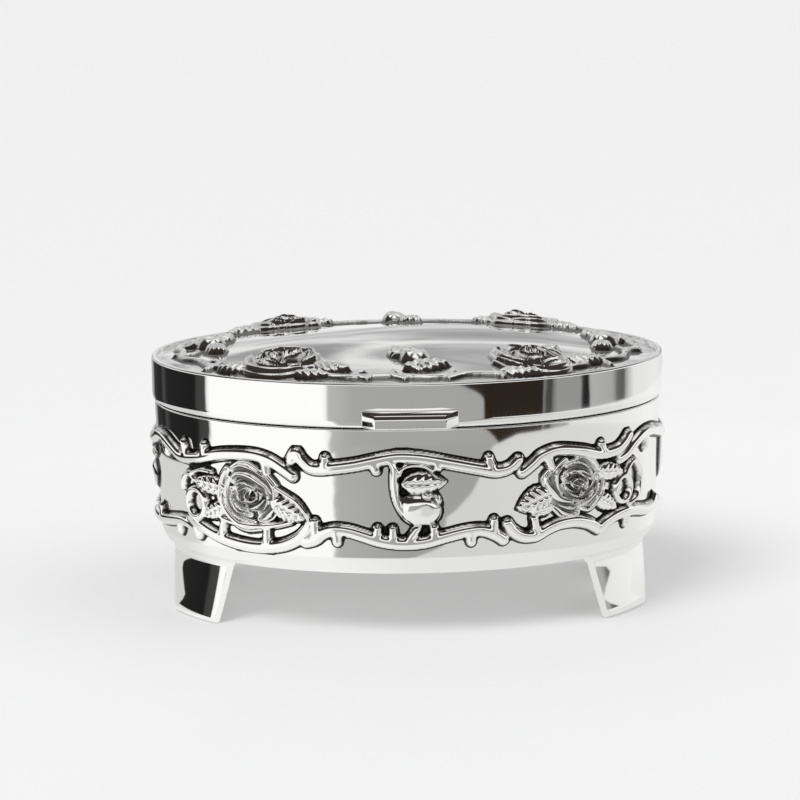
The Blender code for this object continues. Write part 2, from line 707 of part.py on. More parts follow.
def make_bud(to_world, place, half_width, half_height):
    """A closed bud: an egg-shaped boss."""
    rings = []
    for reach, rise in BUD_PROFILE_SHARES:
        ring = []
        for sector in range(BUD_SECTORS):
            turn = math.tau * sector / BUD_SECTORS
            across = half_width * reach * math.cos(turn)
            up = half_height * reach * math.sin(turn)
            ring.append((across, up, BUD_HEIGHT * rise))
        rings.append(ring)
    return raised_disc(to_world, place, rings, "bud")


def loop_places(across, up, half_width, half_height):
    """Places round a small ring."""
    places = []
    for step in range(LOOP_POINTS):
        turn = math.tau * step / LOOP_POINTS
        places.append((across + half_width * math.cos(turn), up + half_height * math.sin(turn)))
    return places


def cast_in_one(name, shapes, seat, material):
    """One casting: the shapes joined one by one, and cut back to the surface that carries them."""
    casting = add_object(name, shapes[0].data.copy(), material)
    for shape in shapes[1:]:
        boolean(casting, shape, "UNION")
        keep_shape(casting)
    boolean(casting, seat, "DIFFERENCE").solver = "MANIFOLD"
    keep_shape(casting)
    for helper in [*shapes, seat]:
        bpy.data.objects.remove(helper, do_unlink=True)
    casting.data.materials.clear()
    casting.data.materials.append(material)
    return casting


def wall_cutter():
    """The space that the body's wall and its seat gap take."""
    profile = [(body_inset(height) - SEAT_GAP, height) for height in (FOOT_HEIGHT, RIM_HEIGHT)]
    return as_helper(oval_solid("wall_cutter", profile, None))


def dome_cutter():
    """The space that the lid's top and its seat gap take."""
    profile = [(DOME_INSET, dome_height(share) + SEAT_GAP, share) for share in reversed(DOME_RING_SHARES)]
    profile.append((DOME_INSET, DOME_BASE + SEAT_GAP))
    profile.append((0, RIM_HEIGHT + SEAT_GAP))
    profile.append((0, DOME_BASE - CUTTER_DEPTH))
    return as_helper(oval_solid("dome_cutter", profile, None))


def make_side_ornament():
    """The vine bands, roses and bud of the front, as one casting, and the same casting on the rear."""
    quarter = QUARTER_LENGTHS[-1]
    shapes = [make_stem(side_point, places, VINE_RADIUS) for places in SIDE_VINE_SHARES]
    shapes += [make_stem(side_point, places, SHOOT_RADIUS) for places in SIDE_SHOOT_SHARES]
    shapes += [make_stem(side_point, places, TENDRIL_RADIUS) for places in SIDE_TENDRIL_SHARES]
    for loop in SIDE_LOOP_SHARES:
        shapes.append(make_stem(side_point, loop_places(*loop), TENDRIL_RADIUS, closed=True))
    shapes += [make_rose(side_point, place) for place in SIDE_ROSE_SHARES]
    shapes += [make_petal_leaf(side_point, leaf, quarter, BAND_HEIGHT) for leaf in SIDE_LEAF_SHARES]
    for across, up, half_width, half_height in SIDE_BUD_SHARES:
        shapes.append(make_bud(side_point, (across, up), half_width * quarter, half_height * BAND_HEIGHT))
    front = cast_in_one("front_ornament", shapes, wall_cutter(), silver("ornament_silver"))
    rear = add_object("rear_ornament", front.data.copy(), silver("rear_ornament_silver"))
    rear.rotation_euler.z = math.pi


def make_lid_garland():
    """The vine ring, roses, leaves and buds round the dome, as one casting."""
    places = []
    for step in range(GARLAND_POINTS):
        turn = math.tau * step / GARLAND_POINTS
        share = GARLAND_SHARE + GARLAND_WAVE_SHARE * math.sin(GARLAND_WAVES * turn)
        places.append((share * math.sin(turn), -share * math.cos(turn)))
    shapes = [make_stem(lid_point, places, TENDRIL_RADIUS, closed=True)]
    shapes += [make_stem(lid_point, shoot, SHOOT_RADIUS) for shoot in LID_SHOOT_SHARES]
    shapes += [make_rose(lid_point, place) for place in LID_ROSE_SHARES]
    shapes += [make_petal_leaf(lid_point, leaf, HALF_LENGTH, HALF_DEPTH) for leaf in LID_LEAF_SHARES]
    for across, up, half_width, half_height in LID_BUD_SHARES:
        sizes = (half_width * HALF_LENGTH, half_height * HALF_DEPTH)
        shapes.append(make_bud(lid_point, (across, up), *sizes))
    cast_in_one("lid_garland", shapes, dome_cutter(), silver("garland_silver"))


QUARTER_LENGTHS = quarter_lengths()
clear_scene()
make_body_shell()
for end, end_name in ((1, "front"), (-1, "rear")):
    for side, side_name in ((-1, "left"), (1, "right")):
        make_foot(f"foot_{end_name}_{side_name}", side, end)
make_lid_shell()
make_thumb_tab()
make_hinge()
make_wall_lining()
make_floor_pad()
make_lid_lining()
make_side_ornament()
make_lid_garland()
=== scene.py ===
import math

import bpy
import numpy as np
from mathutils import Matrix, Vector


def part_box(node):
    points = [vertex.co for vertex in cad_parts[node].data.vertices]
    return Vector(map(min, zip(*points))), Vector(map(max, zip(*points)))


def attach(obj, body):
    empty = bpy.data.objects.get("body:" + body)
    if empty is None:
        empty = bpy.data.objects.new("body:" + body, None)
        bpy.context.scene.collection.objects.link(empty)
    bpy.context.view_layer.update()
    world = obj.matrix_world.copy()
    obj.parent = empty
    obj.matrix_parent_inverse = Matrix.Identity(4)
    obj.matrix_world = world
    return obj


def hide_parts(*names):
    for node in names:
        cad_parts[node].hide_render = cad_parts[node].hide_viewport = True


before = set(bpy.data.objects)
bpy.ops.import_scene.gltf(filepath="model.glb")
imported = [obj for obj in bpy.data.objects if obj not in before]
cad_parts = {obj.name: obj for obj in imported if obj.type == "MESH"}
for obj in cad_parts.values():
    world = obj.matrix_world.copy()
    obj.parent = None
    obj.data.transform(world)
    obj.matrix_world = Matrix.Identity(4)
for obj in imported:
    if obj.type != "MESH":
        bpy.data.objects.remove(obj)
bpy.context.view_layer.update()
mm = 0.001
print("frame loaded:", len(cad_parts), "nodes")


# small helpers for modelling

def deselectAll():
    if bpy.context.object and bpy.context.object.mode != "OBJECT":
        bpy.ops.object.mode_set(mode="OBJECT")
    bpy.ops.object.select_all(action="DESELECT")


def only(piece):
    deselectAll()
    piece.select_set(True)
    bpy.context.view_layer.objects.active = piece


def named(name):
    piece = bpy.context.object
    piece.name = name
    piece.data.name = name
    return piece


def placesOf(piece):
    places = np.zeros(len(piece.data.vertices) * 3)
    piece.data.vertices.foreach_get("co", places)
    return places.reshape(-1, 3)


def putPlaces(piece, places):
    piece.data.vertices.foreach_set("co", np.asarray(places, float).ravel())
    piece.data.update()


def tidyMesh(piece, distance=0.0000004):
    only(piece)
    bpy.ops.object.mode_set(mode="EDIT")
    bpy.ops.mesh.select_all(action="SELECT")
    bpy.ops.mesh.remove_doubles(threshold=distance)
    bpy.ops.mesh.delete_loose()
    bpy.ops.mesh.select_all(action="SELECT")
    bpy.ops.mesh.normals_make_consistent(inside=False)
    bpy.ops.object.mode_set(mode="OBJECT")


def shape(piece, kind, **settings):
    only(piece)
    modifier = piece.modifiers.new(kind.title(), kind)
    for key, value in settings.items():
        setattr(modifier, key, value)
    bpy.ops.object.modifier_apply(modifier=modifier.name)


def smooth(piece, degrees=35):
    only(piece)
    bpy.ops.object.shade_smooth_by_angle(angle=math.radians(degrees))


def belongs(piece, body, slot, material, *nodes):
    piece.data.materials.clear()
    piece.data.materials.append(material)
    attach(piece, body)
    if nodes:
        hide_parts(*nodes)
    return piece


def copyOf(piece, name, turn=Matrix.Identity(4)):
    only(piece)
    bpy.ops.object.duplicate(linked=False)
    twin = named(name)
    twin.data.transform(turn)
    if turn.determinant() < 0:
        twin.data.flip_normals()
    return twin


# shader maths

class Wire:
    # one output socket of a material, which Python's operators can work on
    def __init__(self, paint, socket):
        self.paint = paint
        self.socket = socket

    def maths(self, operation, *others):
        values = {index + 1: other for index, other in enumerate(others)}
        return self.paint.node("Math", {0: self, **values}, operation=operation)

    def __add__(self, other):
        return self.maths("ADD", other)

    def __mul__(self, other):
        return self.maths("MULTIPLY", other)

    def __sub__(self, other):
        return self.maths("SUBTRACT", other)

    def __truediv__(self, other):
        return self.maths("DIVIDE", other)

    def __rsub__(self, other):
        return self.paint.node("Math", {0: other, 1: self}, operation="SUBTRACT")

    __radd__ = __add__
    __rmul__ = __mul__

    def between(self, low, high):
        # 0 below low, 1 above high, and a soft step between them
        inputs = {"Value": self, "From Min": low, "From Max": high}
        return self.paint.node("MapRange", inputs, interpolation_type="SMOOTHSTEP")


class Paint:
    # a material or world and its nodes
    def __init__(self, owner):
        self.owner = owner
        owner.use_nodes = True
        self.tree = owner.node_tree
        self.tree.nodes.clear()

    def node(self, kind, inputs=None, output=0, stops=None, **settings):
        item = self.tree.nodes.new("ShaderNode" + kind)
        for key, value in settings.items():
            setattr(item, key, value)
        if stops:
            ramp = item.color_ramp
            while len(ramp.elements) < len(stops):
                ramp.elements.new(1)
            for element, (place, color) in zip(ramp.elements, stops):
                element.position = place
                element.color = (*color, 1)
        for key, value in (inputs or {}).items():
            if isinstance(value, Wire):
                self.tree.links.new(value.socket, item.inputs[key])
            else:
                item.inputs[key].default_value = value
        return Wire(self, item.outputs[output])

    def place(self):
        return self.node("TexCoord", output="Object")

    def noise(self, scale, detail=2, source=None, stretch=None, distortion=0):
        where = source or self.place()
        if stretch:
            where = self.node("Mapping", {"Vector": where, "Scale": stretch})
        inputs = {"Vector": where, "Scale": scale, "Detail": detail, "Distortion": distortion}
        return self.node("TexNoise", inputs)

    def mixColors(self, share, first, second):
        # a Mix node's color inputs are its sixth and seventh
        return self.node("Mix", {0: share, 6: first, 7: second}, output=2, data_type="RGBA")

    def close(self, surface, kind="Material"):
        item = self.tree.nodes.new("ShaderNodeOutput" + kind)
        self.tree.links.new(surface.socket, item.inputs["Surface"])
        return self.owner


# finishes

silverFinish = {
    "color": (0.93, 0.928, 0.915),
    # painted shade: the dark colour put into the relief's creases and at the foot of each motif, standing in for
    # dark reflections there
    "paintedCreaseShade": (0.022, 0.021, 0.02),
    "gloss": 0.035,
    "smudges": 0.035,
    "smudgeSize": 0.012,
    "waveSize": 0.014,
    "waveHeight": 0.00001,
}


def makeSilver(name, shadedCreases=False, base=silverFinish):
    paint = Paint(bpy.data.materials.new(name))
    smudge = paint.noise(1 / base["smudgeSize"], 3).between(0.5, 0.8)
    fine = paint.noise(9 / base["smudgeSize"], 2).between(0.45, 0.9)
    roughness = base["gloss"] + smudge * fine * base["smudges"]
    wave = paint.noise(1 / base["waveSize"], 1)
    normal = paint.node("Bump", {"Strength": 1, "Distance": base["waveHeight"], "Height": wave})
    color = paint.mixColors(smudge * 0.08, (*base["color"], 1), (0.86, 0.85, 0.82, 1))
    # painted shade: the relief's copy is darkened towards that colour wherever its sheet marks creases and the foot
    # of each motif
    if shadedCreases:
        depth = paint.node("Attribute", output="Fac", attribute_name="paintedCreaseShade")
        color = paint.mixColors(depth, color, (*base["paintedCreaseShade"], 1))
        roughness = roughness + depth * 0.3
    inputs = {"Base Color": color, "Metallic": 1, "Roughness": roughness, "Normal": normal}
    return paint.close(paint.node("BsdfPrincipled", inputs))


steelFinish = {"color": (0.66, 0.66, 0.67), "gloss": 0.24, "lineSize": 0.00012}


def makeSteel(name):
    paint = Paint(bpy.data.materials.new(name))
    lines = paint.noise(1 / steelFinish["lineSize"], 2, stretch=(0.02, 1, 1))
    roughness = steelFinish["gloss"] + lines * 0.14
    color = paint.mixColors(lines, (*steelFinish["color"], 1), (0.5, 0.5, 0.51, 1))
    inputs = {"Base Color": color, "Metallic": 1, "Roughness": roughness}
    return paint.close(paint.node("BsdfPrincipled", inputs))


velvetFinish = {
    "color": (0.016, 0.022, 0.075),
    "crushed": (0.036, 0.046, 0.13),
    "sheen": (0.35, 0.4, 0.75, 1),
    "pileSize": 0.00022,
    "napSize": 0.009,
}


def makeVelvet(name):
    paint = Paint(bpy.data.materials.new(name))
    nap = paint.noise(1 / velvetFinish["napSize"], 3, distortion=0.6).between(0.35, 0.7)
    pile = paint.noise(1 / velvetFinish["pileSize"], 2)
    color = paint.mixColors(nap * 0.7 + pile * 0.3, (*velvetFinish["color"], 1), (*velvetFinish["crushed"], 1))
    normal = paint.node("Bump", {"Strength": 0.7, "Distance": 0.00012, "Height": pile + nap * 0.4})
    inputs = {
        "Base Color": color, "Roughness": 0.82 + pile * 0.12, "Normal": normal,
        "Sheen Weight": 0.7, "Sheen Roughness": 0.35, "Sheen Tint": velvetFinish["sheen"],
    }
    return paint.close(paint.node("BsdfPrincipled", inputs))


silver = makeSilver("polishedSilver")
reliefSilver = makeSilver("reliefSilver", shadedCreases=True)
steel = makeSteel("drawnSteel")
velvet = makeVelvet("blueVelvet")
print("finishes made")


# the oval and what is turned round it, in millimetres until it is put in place

oval = {"halfLength": 57.5, "halfDepth": 41.05, "around": 256}


def ovalPoint(turn, inset, height):
    across = (oval["halfLength"] - inset) * np.sin(turn)
    along = -(oval["halfDepth"] - inset) * np.cos(turn)
    return np.stack(np.broadcast_arrays(across, along, height), axis=-1)


def ovalOutward(turn):
    across = np.sin(turn) / oval["halfLength"]
    along = -np.cos(turn) / oval["halfDepth"]
    length = np.hypot(across, along)
    return np.stack([across / length, along / length, 0 * length], axis=-1)


def quarterTable():
    turns = np.linspace(0, math.pi / 2, 400)
    steps = np.diff(ovalPoint(turns, 0, 0.0), axis=0)
    lengths = np.concatenate([[0], np.cumsum(np.linalg.norm(steps, axis=1))])
    return turns, lengths


quarterTurns, quarterLengths = quarterTable()


def turnAt(across):
    # the oval's turn at a length along its wall from the middle of the front
    return np.sign(across) * np.interp(np.abs(across), quarterLengths, quarterTurns)


def roundedPath(corners, closed=False, steps=6):
    # a line through (inset, height, radius) corners, each rounded by its radius
    path = []
    count = len(corners)
    for index, (inset, height, radius) in enumerate(corners):
        here = Vector((inset, height))
        if radius == 0 or (not closed and index in (0, count - 1)):
            path.append(tuple(here))
            continue
        back = (Vector(corners[index - 1][:2]) - here).normalized()
        ahead = (Vector(corners[(index + 1) % count][:2]) - here).normalized()
        half = back.angle(ahead) / 2
        middle = here + (back + ahead).normalized() * radius / math.sin(half)
        first = here + back * radius / math.tan(half) - middle
        last = here + ahead * radius / math.tan(half) - middle
        for step in range(steps + 1):
            path.append(tuple(middle + first.slerp(last, step / steps) * radius))  # slerp gives unit lengths
    return path


def braced(path, least=6.0, reach=0.12):
    # points close to the ends of long straight walls keep the shading flat between them
    full = []
    for index, corner in enumerate(path):
        here, ahead = Vector(corner), Vector(path[(index + 1) % len(path)])
        full.append(tuple(here))
        length = (ahead - here).length
        if length > least:
            full += [tuple(here.lerp(ahead, reach / length)), tuple(ahead.lerp(here, reach / length))]
    return full


def spunShell(name, path, shareInset=6.0):
    # the section is a ring of points spun right round, then drawn in to the oval
    path = braced(path)
    deselectAll()
    bpy.ops.mesh.primitive_circle_add(vertices=len(path), radius=1, fill_type="NOTHING")
    piece = named(name)
    putPlaces(piece, [(oval["halfLength"] - inset, 0, height) for inset, height in path])
    bpy.ops.object.mode_set(mode="EDIT")
    bpy.ops.mesh.select_all(action="SELECT")
    bpy.ops.mesh.spin(steps=oval["around"], angle=math.tau, center=(0, 0, 0), axis=(0, 0, 1))
    bpy.ops.object.mode_set(mode="OBJECT")
    places = placesOf(piece)
    inset = oval["halfLength"] - np.hypot(places[:, 0], places[:, 1])
    shallow = np.minimum(inset, shareInset)
    places[:, 1] *= (oval["halfDepth"] - shallow) / (oval["halfLength"] - shallow)
    putPlaces(piece, places * mm)
    tidyMesh(piece)
    return piece


# body and feet

bodyShape = {
    "wall": 1.6, "topInset": 0.5, "lowInset": 1.4, "top": 46.45, "base": 14.0,
    "roundWidth": 3.2, "roundHeight": 4.2, "floor": 16.7, "fillet": 2.0,
    "recessInset": 10.0, "recessHeight": 15.2,
}


def bodyInset(height):
    low = bodyShape["base"] + bodyShape["roundHeight"]
    share = (height - low) / (bodyShape["top"] - low)
    return bodyShape["lowInset"] + (bodyShape["topInset"] - bodyShape["lowInset"]) * share


def outerInset(height):
    # the wall's lean and the round of its bottom edge in one smooth curve
    share = np.clip((bodyShape["base"] + bodyShape["roundHeight"] - height) / bodyShape["roundHeight"], 0, 1)
    return bodyInset(height) + bodyShape["roundWidth"] * (1 - np.sqrt(1 - share * share))


def underside(inset):
    # the height of the body's outside under its rounded bottom edge
    heights = bodyShape["base"] + bodyShape["roundHeight"] * (1 - np.cos(np.linspace(0, math.pi / 2, 60)))
    return np.interp(-inset, -outerInset(heights), heights)


def makeBody():
    base, rise = bodyShape["base"], bodyShape["roundHeight"]
    path = roundedPath([
        (oval["halfLength"], bodyShape["recessHeight"], 0),
        (bodyShape["recessInset"], bodyShape["recessHeight"], 0.5),
        (bodyShape["recessInset"] - 0.6, base, 0.4),
        (outerInset(base), base, 0),
    ])[:-1]
    for step in range(22):
        height = base + rise * (1 - math.cos(math.pi / 2 * step / 21))
        path.append((float(outerInset(height)), height))
    innerTop = bodyShape["topInset"] + bodyShape["wall"]
    innerLow = bodyInset(bodyShape["floor"]) + bodyShape["wall"]
    path += roundedPath([
        (bodyInset(base + rise), base + rise, 0),
        (bodyShape["topInset"], bodyShape["top"], 0.35),
        (innerTop, bodyShape["top"], 0.3),
        (innerLow, bodyShape["floor"], bodyShape["fillet"]),
        (oval["halfLength"], bodyShape["floor"], 0),
    ])[1:]
    body = spunShell("bodyCasting", path)
    smooth(body)
    return belongs(body, "box", "silver_plate", silver, "body_shell")


footShape = {
    "topShares": (0.54, 0.95), "toeShares": (0.563, 0.79), "sweeps": (1, 0.74), "metric": 44.2,
    "topThickness": 2.2, "toeThickness": 1.9, "inset": 4.2, "splay": 3.0, "lean": 0.15,
    "corners": (0.35, 1.4, 0.6, 0.4), "soleRound": 0.7, "soleLift": 0.5,
    "flare": 1.5, "sideSteps": 14, "cornerSteps": 5,
}


def footOutline(halfLength, thickness, grow):
    corners = [(-halfLength - grow, -grow), (halfLength + grow, -grow),
               (halfLength + grow, thickness + grow), (-halfLength - grow, thickness + grow)]
    radii = [max(radius + grow, 0.15) for radius in footShape["corners"]]
    path = roundedPath([(*corner, radius) for corner, radius in zip(corners, radii)], True, footShape["cornerSteps"])
    size = footShape["cornerSteps"] + 1
    full = []
    for index in range(4):
        full += path[index * size:(index + 1) * size]
        start = Vector(path[(index + 1) * size - 1])
        end = Vector(path[((index + 1) * size) % len(path)])
        steps = footShape["sideSteps"] if index in (0, 2) else 2
        full += [tuple(start.lerp(end, step / steps)) for step in range(1, steps)]
    return full


def footRing(height, grow, drop=None):
    # one level of a foot; the last ones flare out to meet the underside of the body
    share = 1 - min(height / bodyShape["base"], 1)
    ends = [math.pi / 2 * (top + (toe - top) * share ** sweep)
            for top, toe, sweep in zip(footShape["topShares"], footShape["toeShares"], footShape["sweeps"])]
    halfLength = (ends[1] - ends[0]) / 2 * footShape["metric"]
    thickness = footShape["topThickness"] + (footShape["toeThickness"] - footShape["topThickness"]) * share
    outline = np.array(footOutline(halfLength, thickness, grow))
    inset = footShape["inset"] - (footShape["splay"] + footShape["lean"] * share) * share + outline[:, 1]
    turn = sum(ends) / 2 + outline[:, 0] / footShape["metric"]
    back = (outline[:, 1].max() - outline[:, 1]) / np.ptp(outline[:, 1])
    level = height + footShape["soleLift"] * back * max(1 - height / 3, 0)
    heights = level if drop is None else underside(inset) - drop
    return ovalPoint(turn, inset, heights)


def makeFeet():
    sole, flare = footShape["soleRound"], footShape["flare"]
    rings = []
    for step in range(5):
        turn = math.pi / 2 * step / 4
        rings.append(footRing(sole * (1 - math.cos(turn)), -sole * (1 - math.sin(turn))))
    top = bodyShape["base"] - flare
    rings += [footRing(sole + (top - sole) * step / 9, 0) for step in range(1, 9)]
    for step in range(9):
        turn = math.pi / 2 * step / 8
        drop = flare * (1 - math.sin(turn))
        rings.append(footRing(bodyShape["base"] - drop, flare * (1 - math.cos(turn)), drop))
    rings.append(footRing(bodyShape["base"], flare - 0.3, -0.5))
    deselectAll()
    around = len(rings[0])
    bpy.ops.mesh.primitive_circle_add(vertices=around, radius=1, fill_type="NGON")
    foot = named("footFrontRight")
    bpy.ops.object.mode_set(mode="EDIT")
    bpy.ops.mesh.select_all(action="SELECT")
    for level in range(len(rings) - 1):
        bpy.ops.mesh.extrude_region_move(TRANSFORM_OT_translate={"value": (0, 0, 1)})
    bpy.ops.object.mode_set(mode="OBJECT")
    places = placesOf(foot)
    column = np.round(np.arctan2(places[:, 1], places[:, 0]) / math.tau * around).astype(int) % around
    level = np.round(places[:, 2]).astype(int)
    putPlaces(foot, np.array(rings)[level, column] * mm)
    tidyMesh(foot)
    smooth(foot, 50)
    for name, node, side, end in (
        ("footFrontLeft", "foot_front_left", -1, 1),
        ("footRearRight", "foot_rear_right", 1, -1),
        ("footRearLeft", "foot_rear_left", -1, -1),
    ):
        twin = copyOf(foot, name, Matrix.Diagonal((side, end, 1, 1)))
        belongs(twin, "box", "silver_plate", silver, node)
    belongs(foot, "box", "silver_plate", silver, "foot_front_right")


makeBody()
makeFeet()
print("body and feet made")


# lid

lidShape = {
    "wall": 1.6, "bottom": 46.75, "rim": 56.4, "domeInset": 2.4, "domeBase": 55.9, "domeRise": 4.2,
    "skin": 1.5, "edgeWidth": 0.6, "edgeHeight": 1.7, "rimRound": 0.42, "highest": 61.7,
}


def domeHeight(share):
    return lidShape["domeBase"] + lidShape["domeRise"] * (1 - share * share)


def domePath(inset, drop, outwards):
    shares = [(step / 20) for step in range(21)]
    path = [(oval["halfLength"] - share * (oval["halfLength"] - inset), domeHeight(share) - drop)
            for share in shares]
    return path if outwards else path[::-1]


def makeLid():
    path = domePath(lidShape["domeInset"], 0, True)[:-1]
    path += roundedPath([
        (lidShape["domeInset"] + 0.4, domeHeight(0.993), 0),
        (lidShape["domeInset"] - 0.25, lidShape["domeBase"] - 0.12, 0.3),
        (1.35, lidShape["domeBase"] - 0.05, 0.2),
        (1.2, lidShape["rim"], 0.16),
        (0, lidShape["rim"], lidShape["rimRound"]),
        (0, lidShape["bottom"] + lidShape["edgeHeight"], 0),
    ])[:-1]
    for step in range(13):
        turn = math.pi / 2 * step / 12
        path.append((lidShape["edgeWidth"] * (1 - math.cos(turn)),
                     lidShape["bottom"] + lidShape["edgeHeight"] * (1 - math.sin(turn))))
    path += roundedPath([
        (lidShape["edgeWidth"], lidShape["bottom"], 0),
        (lidShape["wall"], lidShape["bottom"], 0.3),
        (lidShape["wall"], lidShape["domeBase"] - 2 * lidShape["skin"], 0.6),
        (lidShape["domeInset"] + lidShape["skin"], lidShape["domeBase"] - lidShape["skin"], 0.5),
        (8, lidShape["domeBase"] - lidShape["skin"] + 0.6, 0),
    ])[1:-1]
    path += domePath(lidShape["domeInset"] + lidShape["skin"], lidShape["skin"], False)[1:]
    lid = spunShell("lidCasting", path, lidShape["domeInset"])
    smooth(lid)
    return belongs(lid, "lid", "silver_plate", silver, "lid_shell")


makeLid()
print("lid made")


# relief: heights in millimetres over a flat sheet, which is then laid on the wall or the dome

reliefShape = {"fillet": 0.62, "sink": 0.5, "back": 0.75, "deep": -3.0, "web": 0.6}


def edged(depth, top, rounding):
    # a height from the depth inside an outline: rounded at its edge, with a small hollow at its foot
    fillet = reliefShape["fillet"]
    share = np.clip(depth / rounding, 0, 1)
    inside = fillet * 0.6 + (top - fillet * 0.6) * np.sqrt(np.clip(1 - (1 - share) ** 2, 0, 1))
    near = np.clip(1 + depth / fillet, 0, 1)
    hollow = fillet * 0.6 * (1 - np.sqrt(1 - near * near))
    outside = np.where(depth > -fillet, hollow, depth + fillet)
    return np.where(depth >= 0, inside, outside)


def curveThrough(points, closed=False, steps=9):
    points = [np.array(point, float) for point in points]
    count = len(points)
    path = []
    for index in range(count if closed else count - 1):
        before = points[index - 1] if closed or index else points[0]
        here, ahead = points[index], points[(index + 1) % count]
        after = points[(index + 2) % count] if closed or index + 2 < count else ahead
        for step in range(steps):
            t = step / steps
            path.append(0.5 * (2 * here + (ahead - before) * t
                               + (2 * before - 5 * here + 4 * ahead - after) * t * t
                               + (3 * here - before - 3 * ahead + after) * t ** 3))
    path.append(points[0] if closed else points[-1])
    return np.array(path)


class Relief:
    # heights at every point of a sheet, raised by one motif after another
    def __init__(self, across, up):
        self.across = across
        self.up = up
        self.height = np.full(across.shape, reliefShape["deep"])
        self.depth = np.full(across.shape, reliefShape["deep"])

    def near(self, low, high, reach):
        return np.nonzero(
            (self.across > low[0] - reach) & (self.across < high[0] + reach)
            & (self.up > low[1] - reach) & (self.up < high[1] + reach))

    def raiseTo(self, where, height):
        self.height[where] = np.maximum(self.height[where], height)

    def insideLine(self, line, width, tips, closed):
        # how far each point near a line lies inside a strand of that half width
        where = self.near(line.min(axis=0), line.max(axis=0), width + 1.5)
        spots = np.stack([self.across[where], self.up[where]], axis=-1)
        lengths = np.concatenate([[0], np.cumsum(np.linalg.norm(np.diff(line, axis=0), axis=1))])
        best = np.full(len(spots), 1e9)
        along = np.zeros(len(spots))
        for index in range(len(line) - 1):
            start, run = line[index], line[index + 1] - line[index]
            size = max(float(run @ run), 1e-9)
            share = np.clip(((spots - start) @ run) / size, 0, 1)
            gap = np.linalg.norm(spots - start - share[:, None] * run, axis=1)
            closer = gap < best
            best = np.where(closer, gap, best)
            along = np.where(closer, lengths[index] + share * math.sqrt(size), along)
        if closed:
            return where, width - best
        total = lengths[-1]
        reach = min(5.0, total / 2)
        first = tips[0] + (1 - tips[0]) * np.clip(along / reach, 0, 1)
        last = tips[1] + (1 - tips[1]) * np.clip((total - along) / reach, 0, 1)
        return where, width * np.minimum(first, last) - best

    def strand(self, points, width=1.25, tips=(0.85, 0.85), closed=False):
        # strands grow together with a soft web where they meet
        where, depth = self.insideLine(curveThrough(points, closed), width, tips, closed)
        other = self.depth[where]
        web = np.clip(reliefShape["web"] - np.abs(depth - other), 0, None) ** 2 / (4 * reliefShape["web"])
        self.depth[where] = np.maximum(depth, other) + web

    def castStrands(self, crown, rounding=1.25):
        self.height = np.maximum(self.height, edged(self.depth, crown, rounding))
        self.depth[:] = reliefShape["deep"]

    def leaf(self, base, tip, half, crown=1.6, carving=0.24, veins=6, teeth=7):
        base, tip = np.array(base, float), np.array(tip, float)
        run = tip - base
        length = float(np.linalg.norm(run))
        axis = run / length
        where = self.near(np.minimum(base, tip), np.maximum(base, tip), half + 1.5)
        dx, dy = self.across[where] - base[0], self.up[where] - base[1]
        along = (dx * axis[0] + dy * axis[1]) / length
        side = -dx * axis[1] + dy * axis[0]
        inside = np.clip(along, 0, 1)
        saw = 1 + carving * 0.35 * (((inside * teeth) % 1) - 0.5)
        width = half * np.sin(math.pi * inside ** 0.8) ** 0.75 * saw
        ends = np.maximum(-along, along - 1) * length
        depth = np.where(ends > 0, -np.hypot(ends, side), width - np.abs(side))
        ratio = np.clip(np.abs(side) / np.maximum(width, 0.05), 0, 1)
        surface = crown * (0.42 + 0.5 * np.cos(ratio * math.pi / 2) + 0.14 * np.sin(math.pi * inside))
        rib = np.cos(2 * math.pi * (inside * veins - ratio * 1.3))
        surface = surface + carving * rib * np.clip(ratio * 4, 0, 1) * (1 - ratio ** 4)
        surface = surface - 0.45 * np.exp(-(side / 0.24) ** 2) * np.clip(inside * 6, 0, 1)
        self.raiseTo(where, edged(depth, surface, 0.6))

    def rose(self, petals, middle, place, scale=1, turn=0, rise=1):
        # crescent petals over a low ground, the inner ones higher
        spin = np.array([[math.cos(turn), -math.sin(turn)], [math.sin(turn), math.cos(turn)]])
        ground = 0.82 * rise
        pad = np.full(self.across.shape, reliefShape["deep"])
        for points, width, level in petals:
            flat = (np.array(points, float) - middle) * scale
            line = curveThrough([place + spin @ point for point in flat])
            where, depth = self.insideLine(line, width * scale, (0.35, 0.35), False)
            pad[where] = np.maximum(pad[where], depth)
            share = np.clip(depth / (width * scale), 0, 1)
            top = (1.15 + 0.85 * level) * rise
            ridge = ground + (top - ground) * np.sqrt(np.clip(1 - (1 - share) ** 2, 0, 1))
            self.raiseTo(where, np.where(depth > 0, ridge, reliefShape["deep"]))
        self.height = np.maximum(self.height, edged(pad + 0.7, ground, 0.4))

    def bud(self, middle, halfWidth, halfHeight, tilt, crown=2.2, fold=0.4):
        where = self.near(np.array(middle), np.array(middle), max(halfWidth, halfHeight) + 1.5)
        dx, dy = self.across[where] - middle[0], self.up[where] - middle[1]
        a = (dx * math.cos(tilt) + dy * math.sin(tilt)) / halfWidth
        b = (-dx * math.sin(tilt) + dy * math.cos(tilt)) / halfHeight
        reach = np.hypot(a, b)
        surface = crown * (0.3 + 0.7 * np.sqrt(np.clip(1 - reach ** 2 * 0.95, 0, 1)))
        crease = b - 0.5 * np.sin(a * 2.4) - 0.15
        surface = surface + fold / (1 + np.exp(-crease * 7)) * np.clip(1.2 - reach, 0, 1)
        size = min(halfWidth, halfHeight)
        self.raiseTo(where, edged((1 - reach) * size, surface, size * 0.5))


